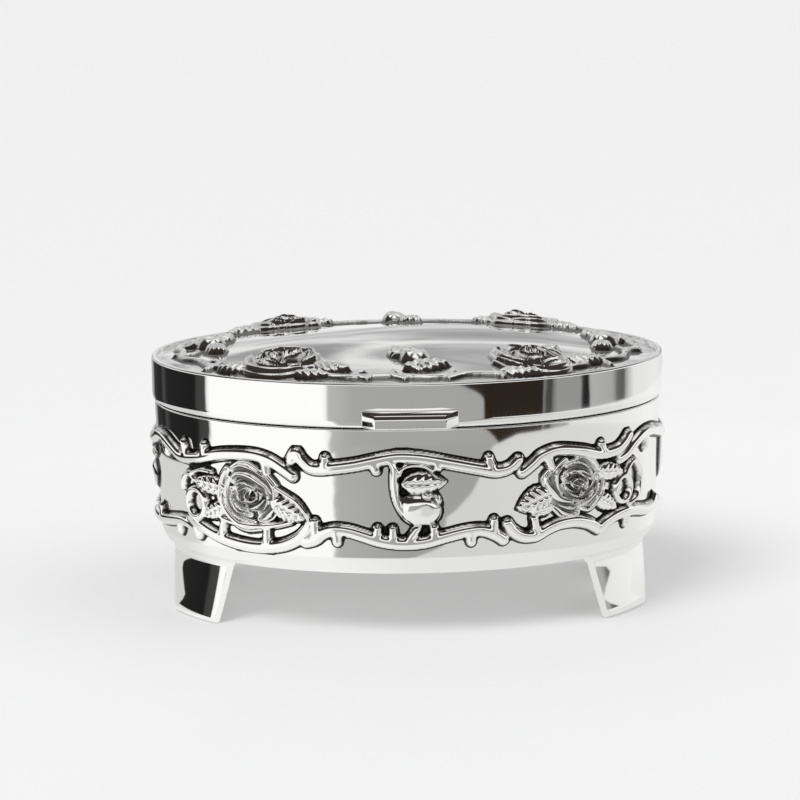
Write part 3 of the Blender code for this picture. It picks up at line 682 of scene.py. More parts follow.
leftRose = (  # points of each petal's rim, half width, how high it stands
    (((-40.6, 36.2), (-38.5, 37.3), (-36.4, 37.2), (-34.3, 36.3), (-32.9, 35.3)), 0.52, 0.55),
    (((-32.9, 36.1), (-31.4, 34.6), (-30.3, 33), (-30.2, 31.3), (-30.6, 29.7)), 0.5, 0.5),
    (((-42, 35.9), (-43.2, 34.1), (-43.8, 32.1), (-44, 30), (-43.3, 28.1), (-42, 26.2), (-39.8, 24.5),
      (-37.1, 23.6), (-34, 23.8)), 0.66, 0.55),
    (((-41.7, 34.1), (-42.4, 32), (-42.5, 29.9), (-41.9, 27.9), (-40.3, 26.2), (-38, 25.1),
      (-35.4, 24.8)), 0.3, 0.75),
    (((-40.5, 33.7), (-39.7, 35.2), (-37.8, 35.6), (-35.7, 35.2), (-33.7, 34.2), (-31.9, 33),
      (-30.9, 31.7)), 0.62, 1),
    (((-40.8, 31.8), (-40.9, 30.4), (-40.6, 29.1), (-39.7, 27.6), (-38.2, 26.8), (-36.2, 26.5)), 0.3, 1.05),
    (((-39.9, 31.4), (-40.1, 30.2), (-39.5, 28.8), (-38.5, 27.8), (-37.2, 27.2)), 0.3, 1.3),
    (((-39.7, 32.5), (-38.7, 33.3), (-37.1, 33.6), (-35.6, 33.2), (-34.7, 32.6)), 0.38, 1.45),
    (((-37.2, 32.4), (-38.3, 31.6), (-38.5, 30.3), (-38, 29.5), (-37.1, 29.4)), 0.34, 1.65),
    (((-32.3, 32.6), (-31.6, 31.2), (-31.6, 29.6), (-32.5, 28.1), (-33.8, 27.1)), 0.3, 1),
    (((-36.9, 28.8), (-36.2, 28.3), (-34.9, 28.3), (-33.4, 29.1), (-32.3, 30.3)), 0.5, 1.4),
    (((-34, 32.2), (-33, 31.5), (-33.1, 30.5), (-33.9, 29.6)), 0.3, 1.5),
    (((-35, 32.3), (-34, 31.6), (-33.9, 30.5), (-35.1, 29.7), (-36.5, 29.8), (-36.9, 30.8),
      (-36.4, 31.8)), 0.33, 1.9),
    (((-33.8, 25.8), (-32.6, 25.9), (-31.2, 26.9), (-30.1, 28.3), (-29.5, 29.2)), 0.62, 1),
)
rightRose = (
    (((30.6, 35.4), (29.9, 34.3), (30.3, 32.7), (31.5, 30.9), (32.9, 29.5), (34.7, 28.7),
      (36.4, 28.4)), 0.7, 0.6),
    (((34.8, 37.6), (33.5, 36.5), (32.4, 35.1), (32.2, 33.7), (32.6, 32.1), (33.6, 30.5)), 0.42, 0.9),
    (((38, 37.9), (39.4, 37.9), (41.1, 37.1), (42.6, 35.7), (43.8, 34.1), (44.2, 32.9)), 0.46, 0.5),
    (((35.2, 36.6), (36.6, 37), (38.4, 36.8), (40.1, 35.8), (41.4, 34.2)), 0.32, 0.9),
    (((34.9, 34.8), (36.7, 35.3), (38.6, 35), (40.3, 34.1), (41.6, 33.2)), 0.34, 1.2),
    (((34.3, 34), (35.8, 34.8), (37.4, 34.8), (39.1, 33.8), (40.1, 32.4), (39.5, 31.3)), 0.31, 1.5),
    (((34.5, 33.6), (35.7, 33.1), (37.1, 33.6), (38.3, 33.2), (38.9, 32.2), (38.6, 31.3)), 0.28, 1.8),
    (((36.9, 32.2), (37.4, 31.9), (37.8, 31.5)), 0.3, 2),
    (((34.2, 32.3), (34.8, 31.2), (36.1, 30.1), (37.7, 29.7), (39.1, 30.4), (40.5, 31.5)), 0.38, 1.5),
    (((42.8, 33.6), (42.7, 32.1), (41.8, 30.5), (40.5, 29.2), (38.8, 28.6), (37, 29)), 0.28, 1.2),
    (((44.1, 32.2), (43, 30.3), (41.4, 28.5), (39.8, 27.5)), 0.28, 0.9),
    (((44.8, 33), (45, 30.7), (44.2, 28.7), (42.7, 27.2), (41.1, 26.4), (39.2, 26.8)), 0.42, 0.6),
    (((31, 28.6), (32.6, 27.4), (34.1, 26.2), (36.1, 25.6), (38.1, 25.7)), 0.5, 0.7),
    (((33.1, 28.1), (34.9, 27.3), (36.9, 27), (38.4, 27.3)), 0.45, 0.9),
)
# each rose's petals and the middle they were traced round
roses = {"left": (leftRose, (-36.8, 30.4)), "right": (rightRose, (37.5, 31.8))}


def blurred(field, rounds):
    for _ in range(rounds):
        padded = np.pad(field, 1, mode="edge")
        field = (padded[:-2, 1:-1] + 2 * padded[1:-1, 1:-1] + padded[2:, 1:-1]) / 4
        padded = np.pad(field, 1, mode="edge")
        field = (padded[1:-1, :-2] + 2 * padded[1:-1, 1:-1] + padded[1:-1, 2:]) / 4
    return field


def roseCarver(*settings):
    return lambda relief: relief.rose(*settings)


def reliefSheet(name, low, high, cell, carve, lay, shade=1.0):
    # a fine grid, cut to the motifs, given a back, a painted-shade value for its creases, and laid on its carrier
    columns = int((high[0] - low[0]) / cell)
    rows = int((high[1] - low[1]) / cell)
    deselectAll()
    bpy.ops.mesh.primitive_grid_add(x_subdivisions=columns, y_subdivisions=rows, size=2)
    piece = named(name)
    flat = placesOf(piece)
    column = np.round((flat[:, 0] + 1) / 2 * columns).astype(int)
    row = np.round((flat[:, 1] + 1) / 2 * rows).astype(int)
    across, up = np.meshgrid(np.linspace(low[0], high[0], columns + 1),
                             np.linspace(low[1], high[1], rows + 1), indexing="ij")
    relief = Relief(across, up)
    carve(relief)
    height = blurred(np.maximum(relief.height, -1.2), 1)
    proud = np.clip(height, 0, None)
    # painted shade: hollows beside raised parts and the low foot of each motif get a darkness value that the
    # material paints dark, scaled by shade
    hollow = np.clip((blurred(proud, int(0.44 / cell ** 2)) - proud) / 0.2 - 0.15, 0, 1)
    foot = np.clip(height / 0.012, 0, 1) * np.clip((0.8 - height) / 0.35, 0, 1)
    paintedCreaseShade = np.clip(hollow * 0.95 + foot * 0.95, 0, 1) * shade
    mesh = piece.data
    for label, field in (("across", across), ("up", up), ("height", height), ("paintedCreaseShade", paintedCreaseShade)):
        mesh.attributes.new(label, "FLOAT", "POINT").data.foreach_set("value", field[column, row])
    corners = np.zeros(len(mesh.loops), int)
    mesh.loops.foreach_get("vertex_index", corners)
    lowest = height[column, row][corners.reshape(-1, 4)].max(axis=1)
    only(piece)
    bpy.ops.object.mode_set(mode="EDIT")
    bpy.ops.mesh.select_mode(type="FACE")
    bpy.ops.mesh.select_all(action="DESELECT")
    bpy.ops.object.mode_set(mode="OBJECT")
    mesh.polygons.foreach_set("select", lowest < -reliefShape["sink"] * 0.5)
    bpy.ops.object.mode_set(mode="EDIT")
    bpy.ops.mesh.delete(type="FACE")
    bpy.ops.mesh.select_all(action="SELECT")
    bpy.ops.mesh.extrude_region_move(TRANSFORM_OT_translate={"value": (0, 0, 1)})
    bpy.ops.mesh.select_mode(type="VERT")
    bpy.ops.object.mode_set(mode="OBJECT")
    values = {}
    for label in ("across", "up", "height"):
        values[label] = np.zeros(len(mesh.vertices))
        mesh.attributes[label].data.foreach_get("value", values[label])
    front = placesOf(piece)[:, 2] > 0.5
    lift = np.where(front, np.maximum(values["height"], -reliefShape["sink"]), -reliefShape["back"])
    putPlaces(piece, lay(values["across"], values["up"], lift) * mm)
    for label in ("across", "up", "height"):
        mesh.attributes.remove(mesh.attributes[label])
    only(piece)
    bpy.ops.object.mode_set(mode="EDIT")
    bpy.ops.mesh.select_all(action="SELECT")
    bpy.ops.mesh.normals_make_consistent(inside=False)
    bpy.ops.object.mode_set(mode="OBJECT")
    smooth(piece, 70)
    print(name, "faces:", len(mesh.polygons))
    return piece


# side ornament: places in millimetres along the wall from the middle of the front, and above the floor

sideRelief = {
    "cell": 0.235,
    "low": (-77.94, 17.7),
    "high": (77.94, 42.6),
    "vines": (
        ((-80, 37.4), (-75, 37.9), (-71, 38.7), (-66.5, 40.2), (-63, 39.9), (-59.5, 38.4), (-56, 37.0),
         (-50, 37.6), (-43, 39.2), (-36, 39.8), (-31.6, 39.1), (-28.5, 37.5), (-25.9, 35.8)),
        ((-26.1, 39.4), (-24.9, 41.0), (-23.9, 39.6), (-22, 38), (-19.8, 37.7), (-16.5, 38.1), (-12, 38.8),
         (-8, 39.7), (-4, 40.5), (-1, 40.6), (3, 40.2), (9, 38.9), (14.8, 37.6), (18.5, 36.8), (21.5, 37.3),
         (23.5, 38.9)),
        ((24.6, 36.1), (25.8, 36.9), (27.3, 38.0), (29.2, 39.4), (33, 40.2), (39, 39.3), (44, 38.0),
         (49, 38.2), (51.6, 39.6), (53, 41.0)),
        ((50.3, 36.0), (52.5, 36.8), (55.5, 38.8), (59, 40.2), (63, 40.4), (69, 39.2), (74, 38.0), (80, 37.4)),
        ((-80, 20.7), (-72, 20.6), (-66, 21.0), (-60, 22.0), (-56.3, 22.4), (-53, 21.6), (-51.2, 20.2)),
        ((-53.5, 23.9), (-50, 22.1), (-44, 20.3), (-36, 19.4), (-29, 20.2), (-24.5, 22.4), (-22.3, 25.0)),
        ((-23.3, 21.4), (-21.2, 22.1), (-19.3, 23.6), (-16.9, 24.4), (-13.6, 24.2), (-10.4, 23.3), (-6.8, 22.2),
         (-2.5, 21.6), (2.6, 21.8), (7.6, 23.0), (12, 23.9), (15.6, 24.0), (18.6, 22.8), (20.3, 21.6)),
        ((21.2, 25.0), (22.4, 23.4), (24.7, 22.0), (27.9, 21.8), (31, 23.1), (34.1, 23.9), (37.8, 23.9),
         (41.2, 23.0), (43.0, 22.0)),
        ((44.2, 21.3), (46.5, 22.5), (50.5, 23.5), (55.8, 23.6), (61.7, 22.6), (68, 22.6), (73, 21.8), (80, 20.7)),
    ),
    "shoots": (
        ((-54.6, 38.2), (-55.1, 40.2)), ((-48.4, 38.8), (-48.4, 40.6)), ((-18.7, 38.4), (-18.5, 40.2)),
        ((-8.0, 39.2), (-7.4, 37.6)), ((17.6, 37.6), (16.9, 39.8)),
        ((44.9, 38.4), (44.5, 40.2)), ((60, 39.4), (59.8, 37.2)), ((-63, 39.2), (-62, 36.9)),
        ((-58.1, 21.9), (-58.0, 19.9)), ((-67, 21.2), (-67.8, 23.4)), ((-21.1, 23.3), (-21.1, 26.0)),
        ((-16.4, 23.7), (-16.2, 21.7)), ((-7.4, 23.0), (-7.3, 24.8)), ((-3.9, 22.6), (-4.0, 24.7)),
        ((-0.2, 22.6), (1.3, 24.8)), ((5.1, 22.8), (4.9, 24.8)),
        ((13.1, 23.2), (13.1, 21.5)), ((18.1, 23.3), (18.2, 26.0)),
        ((28.1, 22.4), (27.4, 25.6)), ((53, 23.2), (52.9, 21.1)), ((65.6, 22.9), (66.8, 24.4)),
        ((-44, 20.6), (-43.6, 23.9)), ((-32.5, 19.9), (-32.3, 23.4)), ((30.2, 39.2), (31.4, 36.6)),
        ((-32.4, 38.6), (-32.0, 36.2)),
    ),
    "trims": (  # points, half width
        (((-46.5, 26.2), (-42, 24.6), (-36, 24.0), (-30.5, 24.6), (-26.5, 25.6)), 0.8),
        (((-29.9, 33.0), (-27.7, 31.8), (-25.2, 30.3), (-23.4, 28.2), (-22.4, 26.2)), 0.7),
        (((-52.2, 34.0), (-49.5, 34.9), (-46.2, 34.8)), 0.6),
        (((-55.7, 30.0), (-55.2, 32.2), (-53.4, 33.6), (-51.5, 32.5)), 0.85),
        (((52, 32.4), (54.5, 35.0), (57.4, 32.8), (57.6, 29.4), (56.6, 26.6), (53.5, 25.4)), 0.85),
        (((-4.4, 39.8), (-3.5, 38.2), (-3.5, 35.4), (-3.2, 32.2), (-2.3, 29.4), (-0.6, 27.2)), 1.0),
        (((-2.3, 36.8), (-1.6, 38.2), (0.2, 38.8), (2.7, 38.6), (4.6, 37.6)), 0.7),
        (((5.6, 39.3), (5.9, 37.9)), 0.9),
    ),
    "loops": ((-51.3, 27.3, 2.7, 3.1, 0.95), (51.4, 29.2, 2.5, 2.9, 0.85)),
    "vineWidth": 1.4, "shootWidth": 1.1,  # half widths
    "vineCrown": 1.6, "trimCrown": 1.7,  # heights above the wall
    "roseCell": 0.13,
    # how strongly painted shade darkens the side roses' creases
    "roseShade": 0.9,
    "roseReach": (9.0, 8.6),
    "leaves": (
        (-42, 31.4, -52.2, 32.4, 2.3), (-42, 28.0, -49.5, 24.4, 2.1), (-31.2, 30.2, -23.2, 26.2, 2.7),
        (31.8, 31.0, 23.2, 28.0, 3.1), (32.0, 27.6, 26.4, 26.8, 1.5), (43.0, 34.2, 51.5, 33.2, 2.2),
        (43, 28.8, 49.6, 25.0, 2.1),
    ),
    "smoothLeaves": ((-2.2, 34.7, 7.8, 35.0, 2.7),),
    "buds": ((1.9, 29.0, 4.8, 3.8, -0.25),),
    "sepals": ((3.6, 32.2, 1.5, 0.7, -0.1), (5.7, 31.3, 0.7, 1.4, 0.5)),
    "endMotifs": (-77.94, 77.94),
}


def carveEndMotif(relief, middle):
    # the small spray at each end of the box, half of it on each ornament
    relief.strand([(middle - 4.4, 38.0), (middle - 3.4, 35.4), (middle - 2.4, 31.0), (middle - 1.2, 28.6)], 0.8)
    relief.castStrands(1.2)
    relief.leaf((middle - 2.0, 35.4), (middle + 7.2, 34.8), 2.3, 1.1)
    relief.bud((middle + 1.2, 29.4), 4.0, 3.3, -0.3, 1.3)


def carveSides(relief):
    for points in sideRelief["vines"]:
        relief.strand(points, sideRelief["vineWidth"], (0.95, 0.95))
    for points in sideRelief["shoots"]:
        relief.strand(points, sideRelief["shootWidth"], (1.1, 0.95))
    relief.castStrands(sideRelief["vineCrown"])
    for points, width in sideRelief["trims"]:
        relief.strand(points, width, (0.8, 0.8))
    for across, up, halfWidth, halfHeight, width in sideRelief["loops"]:
        turns = [math.tau * step / 10 for step in range(10)]
        ring = [(across + halfWidth * math.cos(turn), up + halfHeight * math.sin(turn)) for turn in turns]
        relief.strand(ring, width, closed=True)
    relief.castStrands(sideRelief["trimCrown"], 1.0)
    for fromAcross, fromUp, toAcross, toUp, half in sideRelief["leaves"]:
        relief.leaf((fromAcross, fromUp), (toAcross, toUp), half)
    for fromAcross, fromUp, toAcross, toUp, half in sideRelief["smoothLeaves"]:
        relief.leaf((fromAcross, fromUp), (toAcross, toUp), half, 1.9, 0.1)
    for across, up, halfWidth, halfHeight, tilt in sideRelief["buds"]:
        relief.bud((across, up), halfWidth, halfHeight, tilt)
    for across, up, halfWidth, halfHeight, tilt in sideRelief["sepals"]:
        relief.bud((across, up), halfWidth, halfHeight, tilt, 2.4, 0)
    for middle in sideRelief["endMotifs"]:
        carveEndMotif(relief, middle)


def layOnWall(across, up, lift):
    turn = turnAt(across)
    return ovalPoint(turn, bodyInset(up), up) + ovalOutward(turn) * lift[:, None]


def makeSideOrnament():
    front = reliefSheet("frontOrnament", sideRelief["low"], sideRelief["high"], sideRelief["cell"],
                        carveSides, layOnWall)
    rear = copyOf(front, "rearOrnament", Matrix.Rotation(math.pi, 4, "Z"))
    belongs(front, "box", "silver_plate", reliefSilver, "front_ornament")
    belongs(rear, "box", "silver_plate", reliefSilver, "rear_ornament")
    for side, (petals, middle) in roses.items():
        reach = np.array(sideRelief["roseReach"])
        rose = reliefSheet("frontRose" + side.title(), middle - reach, middle + reach, sideRelief["roseCell"],
                           roseCarver(petals, middle, middle), layOnWall, sideRelief["roseShade"])
        twin = copyOf(rose, "rearRose" + side.title(), Matrix.Rotation(math.pi, 4, "Z"))
        belongs(rose, "box", "silver_plate", reliefSilver)
        belongs(twin, "box", "silver_plate", reliefSilver)


makeSideOrnament()
print("side ornament made")


# lid ornament: places in millimetres from the middle of the lid, seen from above

lidRelief = {
    "cell": 0.24,
    "low": (-54.6, -38.2),
    "high": (54.6, 38.2),
    "ringShare": 0.925,
    "waves": 18,
    "wave": 0.014,
    "roseCell": 0.15,
    "roseReach": 9.6,
    "roseRise": 1.45,
    # how strongly painted shade darkens the creases of the lid's roses and garland
    "roseShade": 0.6, "garlandShade": 0.8,
    "ringWidth": 0.85, "shootWidth": 0.75,  # half widths
    "ringCrown": 1.15, "leafCrown": 1.8, "budCrown": 2.7,  # heights above the dome
    "roses": (  # name, shape, place, scale, turn
        ("FrontLeft", "left", (-27.2, -24.2), 1.1, 0.2), ("FrontRight", "right", (26.6, -25.0), 1.1, -0.2),
        ("RearLeft", "right", (-28.2, 26.6), 1.08, 2.9), ("RearRight", "left", (28.0, 26.6), 1.08, 3.3),
    ),
    "buds": ((1.4, -24.4, 3.4, 3.6, 0.4), (-2.4, 30.4, 3.2, 3.0, 0.2), (-44, 0, 3.4, 3.0, 0.2),
             (44.5, -1, 3.4, 3.0, 0.4)),
    "leaves": (
        (-20.6, -27.6, -12.4, -31.0, 2.9), (-33.4, -25.4, -41.6, -23.4, 2.6), (-24.6, -31.8, -16.6, -34.4, 1.8),
        (-28.6, -18.4, -32.4, -13.0, 2.2), (19.4, -33.2, 28.8, -32.4, 2.0), (33.8, -22.4, 42.8, -20.4, 2.6),
        (29.2, -18.4, 33.4, -13.2, 2.2), (-1.2, -31.4, 9.0, -28.6, 2.8), (-0.8, -24.4, -3.6, -17.6, 2.3),
        (-43.4, 2.4, -39.6, 9.8, 2.4), (-44.4, -3.0, -40.4, -9.6, 2.3), (-47.4, 0.4, -49.4, 8.0, 1.7),
        (44.4, 3.4, 40.6, 10.6, 2.4), (45.2, -4.4, 41.4, -10.0, 2.3), (48, 0.4, 49.6, 8.0, 1.7),
        (-24.8, 29.6, -16.4, 31.2, 2.5), (-33.4, 24.6, -41.5, 18.2, 2.4),
        (23.8, 30.4, 15.6, 32.2, 2.5), (32.6, 25.6, 40.5, 18.8, 2.4), (-1.0, 28.6, 4.0, 23.8, 2.2),
    ),
    "shoots": (
        ((-1, -37.0), (-3.5, -34.8), (-3.4, -32.4)), ((8.5, -36.6), (11, -34.6), (10.2, -32.6)),
        ((-9, -36.4), (-11.4, -34.0), (-9.8, -32.2)), ((20, -35.0), (18.2, -31.8)),
        ((-44, -22.0), (-41.2, -18.6), (-43.0, -16.4)), ((44, -22.0), (41.4, -18.4), (43.2, -16.0)),
        ((-51.6, -6), (-48, -7.6), (-46.6, -5.2)), ((51.6, -6), (48.4, -7.6), (47.0, -5.6)),
        ((-46, 19.6), (-42.6, 16.4)), ((46, 19.6), (42.8, 16.4)), ((-12, 35.8), (-9.4, 32.8), (-11, 31.0)),
        ((10, 36.0), (8.2, 33.0), (10, 31.4)), ((-51.4, 3.4), (-48, 1.2)), ((51.4, 3.4), (48, 1.0)),
    ),
}


def carveLid(relief):
    halfLength = oval["halfLength"] - lidShape["domeInset"]
    halfDepth = oval["halfDepth"] - lidShape["domeInset"]
    ring = []
    for step in range(144):
        turn = math.tau * step / 144
        share = lidRelief["ringShare"] + lidRelief["wave"] * math.sin(turn * lidRelief["waves"])
        ring.append((halfLength * share * math.sin(turn), -halfDepth * share * math.cos(turn)))
    relief.strand(ring, lidRelief["ringWidth"], closed=True)
    for points in lidRelief["shoots"]:
        relief.strand(points, lidRelief["shootWidth"], (1.0, 0.8))
    relief.castStrands(lidRelief["ringCrown"])
    for fromAcross, fromUp, toAcross, toUp, half in lidRelief["leaves"]:
        relief.leaf((fromAcross, fromUp), (toAcross, toUp), half, lidRelief["leafCrown"], 0.34, 5)
    for across, up, halfWidth, halfHeight, tilt in lidRelief["buds"]:
        relief.bud((across, up), halfWidth, halfHeight, tilt, lidRelief["budCrown"])


def layOnDome(across, up, lift):
    halfLength = oval["halfLength"] - lidShape["domeInset"]
    halfDepth = oval["halfDepth"] - lidShape["domeInset"]
    share = np.hypot(across / halfLength, up / halfDepth)
    height = np.minimum(domeHeight(share) + lift, lidShape["highest"])
    return np.stack([across, up, height], axis=-1)


def makeLidOrnament():
    garland = reliefSheet("lidGarland", lidRelief["low"], lidRelief["high"], lidRelief["cell"],
                          carveLid, layOnDome, lidRelief["garlandShade"])
    belongs(garland, "lid", "silver_plate", reliefSilver, "lid_garland")
    reach = lidRelief["roseReach"]
    for corner, kind, place, scale, turn in lidRelief["roses"]:
        petals, middle = roses[kind]
        low, high = [np.array(place) + side * reach for side in (-1, 1)]
        carve = roseCarver(petals, middle, place, scale, turn, lidRelief["roseRise"])
        rose = reliefSheet("lidRose" + corner, low, high, lidRelief["roseCell"], carve, layOnDome,
                           lidRelief["roseShade"])
        belongs(rose, "lid", "silver_plate", reliefSilver)


makeLidOrnament()
print("lid ornament made")


# thumb tab and hinge: the CAD forms with their edges rounded

tabShape = {
    "cadHeights": (46.75, 47.15, 50.15, 50.95), "heights": (47.2, 47.5, 49.5, 50.3),
    "wallRise": 0.25, "steeper": 0.37,
}


def tabPlaces(places):
    # the tab as the picture shows it: lower, with a steeper slope above its face
    places = places / mm
    places[:, 2] = np.interp(places[:, 2], tabShape["cadHeights"], tabShape["heights"])
    top, atWall = places[:, 2] > 50, places[:, 1] > -42
    places[:, 2] += (top & atWall) * tabShape["wallRise"]
    places[:, 1] -= (top & ~atWall) * tabShape["steeper"]
    return places * mm


def softened(node, name, body, slot, material, width, segments=3, angle=30, reshape=None):
    deselectAll()
    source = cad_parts[node]
    piece = bpy.data.objects.new(name, source.data.copy())
    bpy.context.scene.collection.objects.link(piece)
    piece.data.name = name
    if reshape:
        putPlaces(piece, reshape(placesOf(piece)))
    tidyMesh(piece)
    shape(piece, "DECIMATE", decimate_type="DISSOLVE", angle_limit=math.radians(1))
    shape(piece, "BEVEL", width=width, segments=segments, limit_method="ANGLE", angle_limit=math.radians(angle))
    smooth(piece, 30)
    return belongs(piece, body, slot, material, node)


softened("thumb_tab", "thumbTab", "lid", "silver_plate", silver, 0.0003, 4, 20, tabPlaces)
softened("hinge_body_leaf", "hingeBodyLeaf", "box", "silver_plate", silver, 0.00012, 2, 50)
softened("hinge_lid_leaf", "hingeLidLeaf", "lid", "silver_plate", silver, 0.00012, 2, 50)
softened("hinge_pin", "hingePin", "box", "pin_steel", steel, 0.0001, 2, 40)
print("tab and hinge made")


# velvet lining

liningShape = {"gap": 0.3, "wallLow": 18.7, "wallHigh": 45.45, "wallThickness": 1.0,
               "lidShare": 0.935, "lidCrown": 1.7, "pressure": 4}


def swollen(piece, voxel, cap, scale=10.0):
    # the pad is simulated at ten times its size, where cloth behaves, and brought back
    putPlaces(piece, placesOf(piece) * scale)
    shape(piece, "REMESH", mode="VOXEL", voxel_size=voxel * scale)
    before = placesOf(piece)
    only(piece)
    cloth = piece.modifiers.new("Cloth", "CLOTH")
    cloth.settings.use_pressure = True
    cloth.settings.uniform_pressure_force = liningShape["pressure"]
    cloth.settings.effector_weights.gravity = 0
    cloth.settings.quality = 6
    cloth.point_cache.frame_start = 1
    cloth.point_cache.frame_end = 20
    for number in range(1, 21):
        bpy.context.scene.frame_set(number)
    bpy.ops.object.modifier_apply(modifier=cloth.name)
    bpy.context.scene.frame_set(1)
    moved = placesOf(piece) - before
    length = np.linalg.norm(moved, axis=1)
    limited = np.minimum(length, cap * scale) / np.maximum(length, 1e-9)
    putPlaces(piece, before + moved * limited[:, None])
    putPlaces(piece, placesOf(piece) / scale)
    shape(piece, "SMOOTH", factor=0.5, iterations=3)
    shape(piece, "SUBSURF", levels=1, render_levels=1)


def makeWallLining():
    low, high = liningShape["wallLow"], liningShape["wallHigh"]
    lowInset = bodyInset(low) + bodyShape["wall"] + liningShape["gap"]
    highInset = bodyInset(high) + bodyShape["wall"] + liningShape["gap"]
    thick = liningShape["wallThickness"]
    path = roundedPath([
        (lowInset, low, 0.3), (highInset, high, 0.4), (highInset + thick, high, 0.4), (lowInset + thick, low, 0.3),
    ], True)
    start, end = Vector(path[20]), Vector(path[21])
    for step in range(1, 12):
        swell = 0.3 * math.sin(math.pi * step / 12)
        path.insert(20 + step, tuple(start.lerp(end, step / 12) + Vector((swell, 0))))
    piece = spunShell("wallLining", path)
    smooth(piece)
    belongs(piece, "box", "lining_velvet", velvet, "wall_lining")


def makeFloorCushion():
    low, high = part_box("floor_pad")
    middle = (low + high) / 2
    deselectAll()
    bpy.ops.mesh.primitive_circle_add(vertices=96, radius=1, fill_type="NGON")
    piece = named("floorCushion")
    bpy.ops.object.mode_set(mode="EDIT")
    bpy.ops.mesh.select_all(action="SELECT")
    bpy.ops.mesh.extrude_region_move(TRANSFORM_OT_translate={"value": (0, 0, 1)})
    bpy.ops.object.mode_set(mode="OBJECT")
    places = placesOf(piece)
    half = (high - low) / 2
    thick = (high.z - low.z) * 0.62
    places *= (half.x - 0.0004, half.y - 0.0004, thick)
    places += (middle.x, middle.y, low.z + 0.0002)
    putPlaces(piece, places)
    tidyMesh(piece)
    swollen(piece, 0.0016, 0.0006)
    places = placesOf(piece)
    places[:, 2] = np.maximum(places[:, 2], low.z)
    share = np.hypot((places[:, 0] - middle.x) / half.x, (places[:, 1] - middle.y) / half.y)
    pull = np.where(share > 1, 1 / np.maximum(share, 1e-6), 1)
    places[:, :2] *= pull[:, None]
    putPlaces(piece, places)
    smooth(piece, 180)
    belongs(piece, "box", "lining_velvet", velvet, "floor_pad")


def makeLidLining():
    inset = lidShape["domeInset"] + lidShape["skin"]
    gap = lidShape["skin"] + liningShape["gap"]
    edge, width = liningShape["lidShare"], oval["halfLength"] - inset
    path = []
    for step in range(17):
        share = edge * step / 16
        path.append((oval["halfLength"] - share * width, domeHeight(share) - gap))
    for step in range(17):
        share = edge * (1 - step / 16)
        crown = liningShape["lidCrown"] * (1 - (share / edge) ** 6)
        path.append((oval["halfLength"] - share * width, domeHeight(share) - gap - 0.5 - crown))
    piece = spunShell("lidLining", path, inset)
    smooth(piece, 60)
    belongs(piece, "lid", "lining_velvet", velvet, "lid_lining")


makeWallLining()
makeFloorCushion()
makeLidLining()
print("lining made")


# camera, in millimetres and degrees as fitted to the picture's frame

cameraShape = {"lens": 120.57, "pitch": 11.12, "yaw": 0.652, "roll": -0.645, "side": -1.632, "rise": 44.88,
               "distance": 606.77}


def makeCamera():
    pitch, yaw, roll = (math.radians(cameraShape[key]) for key in ("pitch", "yaw", "roll"))
    data = bpy.data.cameras.new("camera")
    data.lens = cameraShape["lens"]
    data.sensor_width = 36
    data.clip_start = 0.01
    data.clip_end = 50
    camera = bpy.data.objects.new("camera", data)
    bpy.context.scene.collection.objects.link(camera)
    right = Vector((math.cos(yaw), -math.sin(yaw), 0))
    above = Vector((math.sin(yaw) * math.sin(pitch), math.cos(yaw) * math.sin(pitch), math.cos(pitch)))
    ahead = Vector((math.sin(yaw) * math.cos(pitch), math.cos(yaw) * math.cos(pitch), -math.sin(pitch)))
    side = right * math.cos(roll) + above * math.sin(roll)
    top = above * math.cos(roll) - right * math.sin(roll)
    back = -cameraShape["distance"] * math.cos(pitch)
    across = cameraShape["side"] * math.cos(yaw) + back * math.sin(yaw)
    along = -cameraShape["side"] * math.sin(yaw) + back * math.cos(yaw)
    up = cameraShape["rise"] + cameraShape["distance"] * math.sin(pitch)
    matrix = Matrix((side, top, -ahead)).transposed().to_4x4()
    matrix.translation = Vector((across, along, up)) * mm
    camera.matrix_world = matrix
    bpy.context.scene.camera = camera


makeCamera()


# stage: pale floor, soft light, and the white and dark cards that the silver shows

stageShape = {
    "floor": 8.0, "floorColor": (0.93, 0.93, 0.935, 1), "worldLight": 0.62, "cardRadius": 0.22,
    # name, place, softness in degrees, power
    "lamps": (("keyLight", (-0.5, -0.6, 1.0), 30, 1.1), ("fillLight", (0.8, -0.2, 0.9), 50, 0.35)),
}


def makeFloor():
    deselectAll()
    bpy.ops.mesh.primitive_plane_add(size=2 * stageShape["floor"])
    floor = named("studioFloor")
    paint = Paint(bpy.data.materials.new("studioFloor"))
    inputs = {"Base Color": stageShape["floorColor"], "Roughness": 0.9, "Specular IOR Level": 0.1}
    floor.data.materials.append(paint.close(paint.node("BsdfPrincipled", inputs)))
    floor.visible_glossy = False


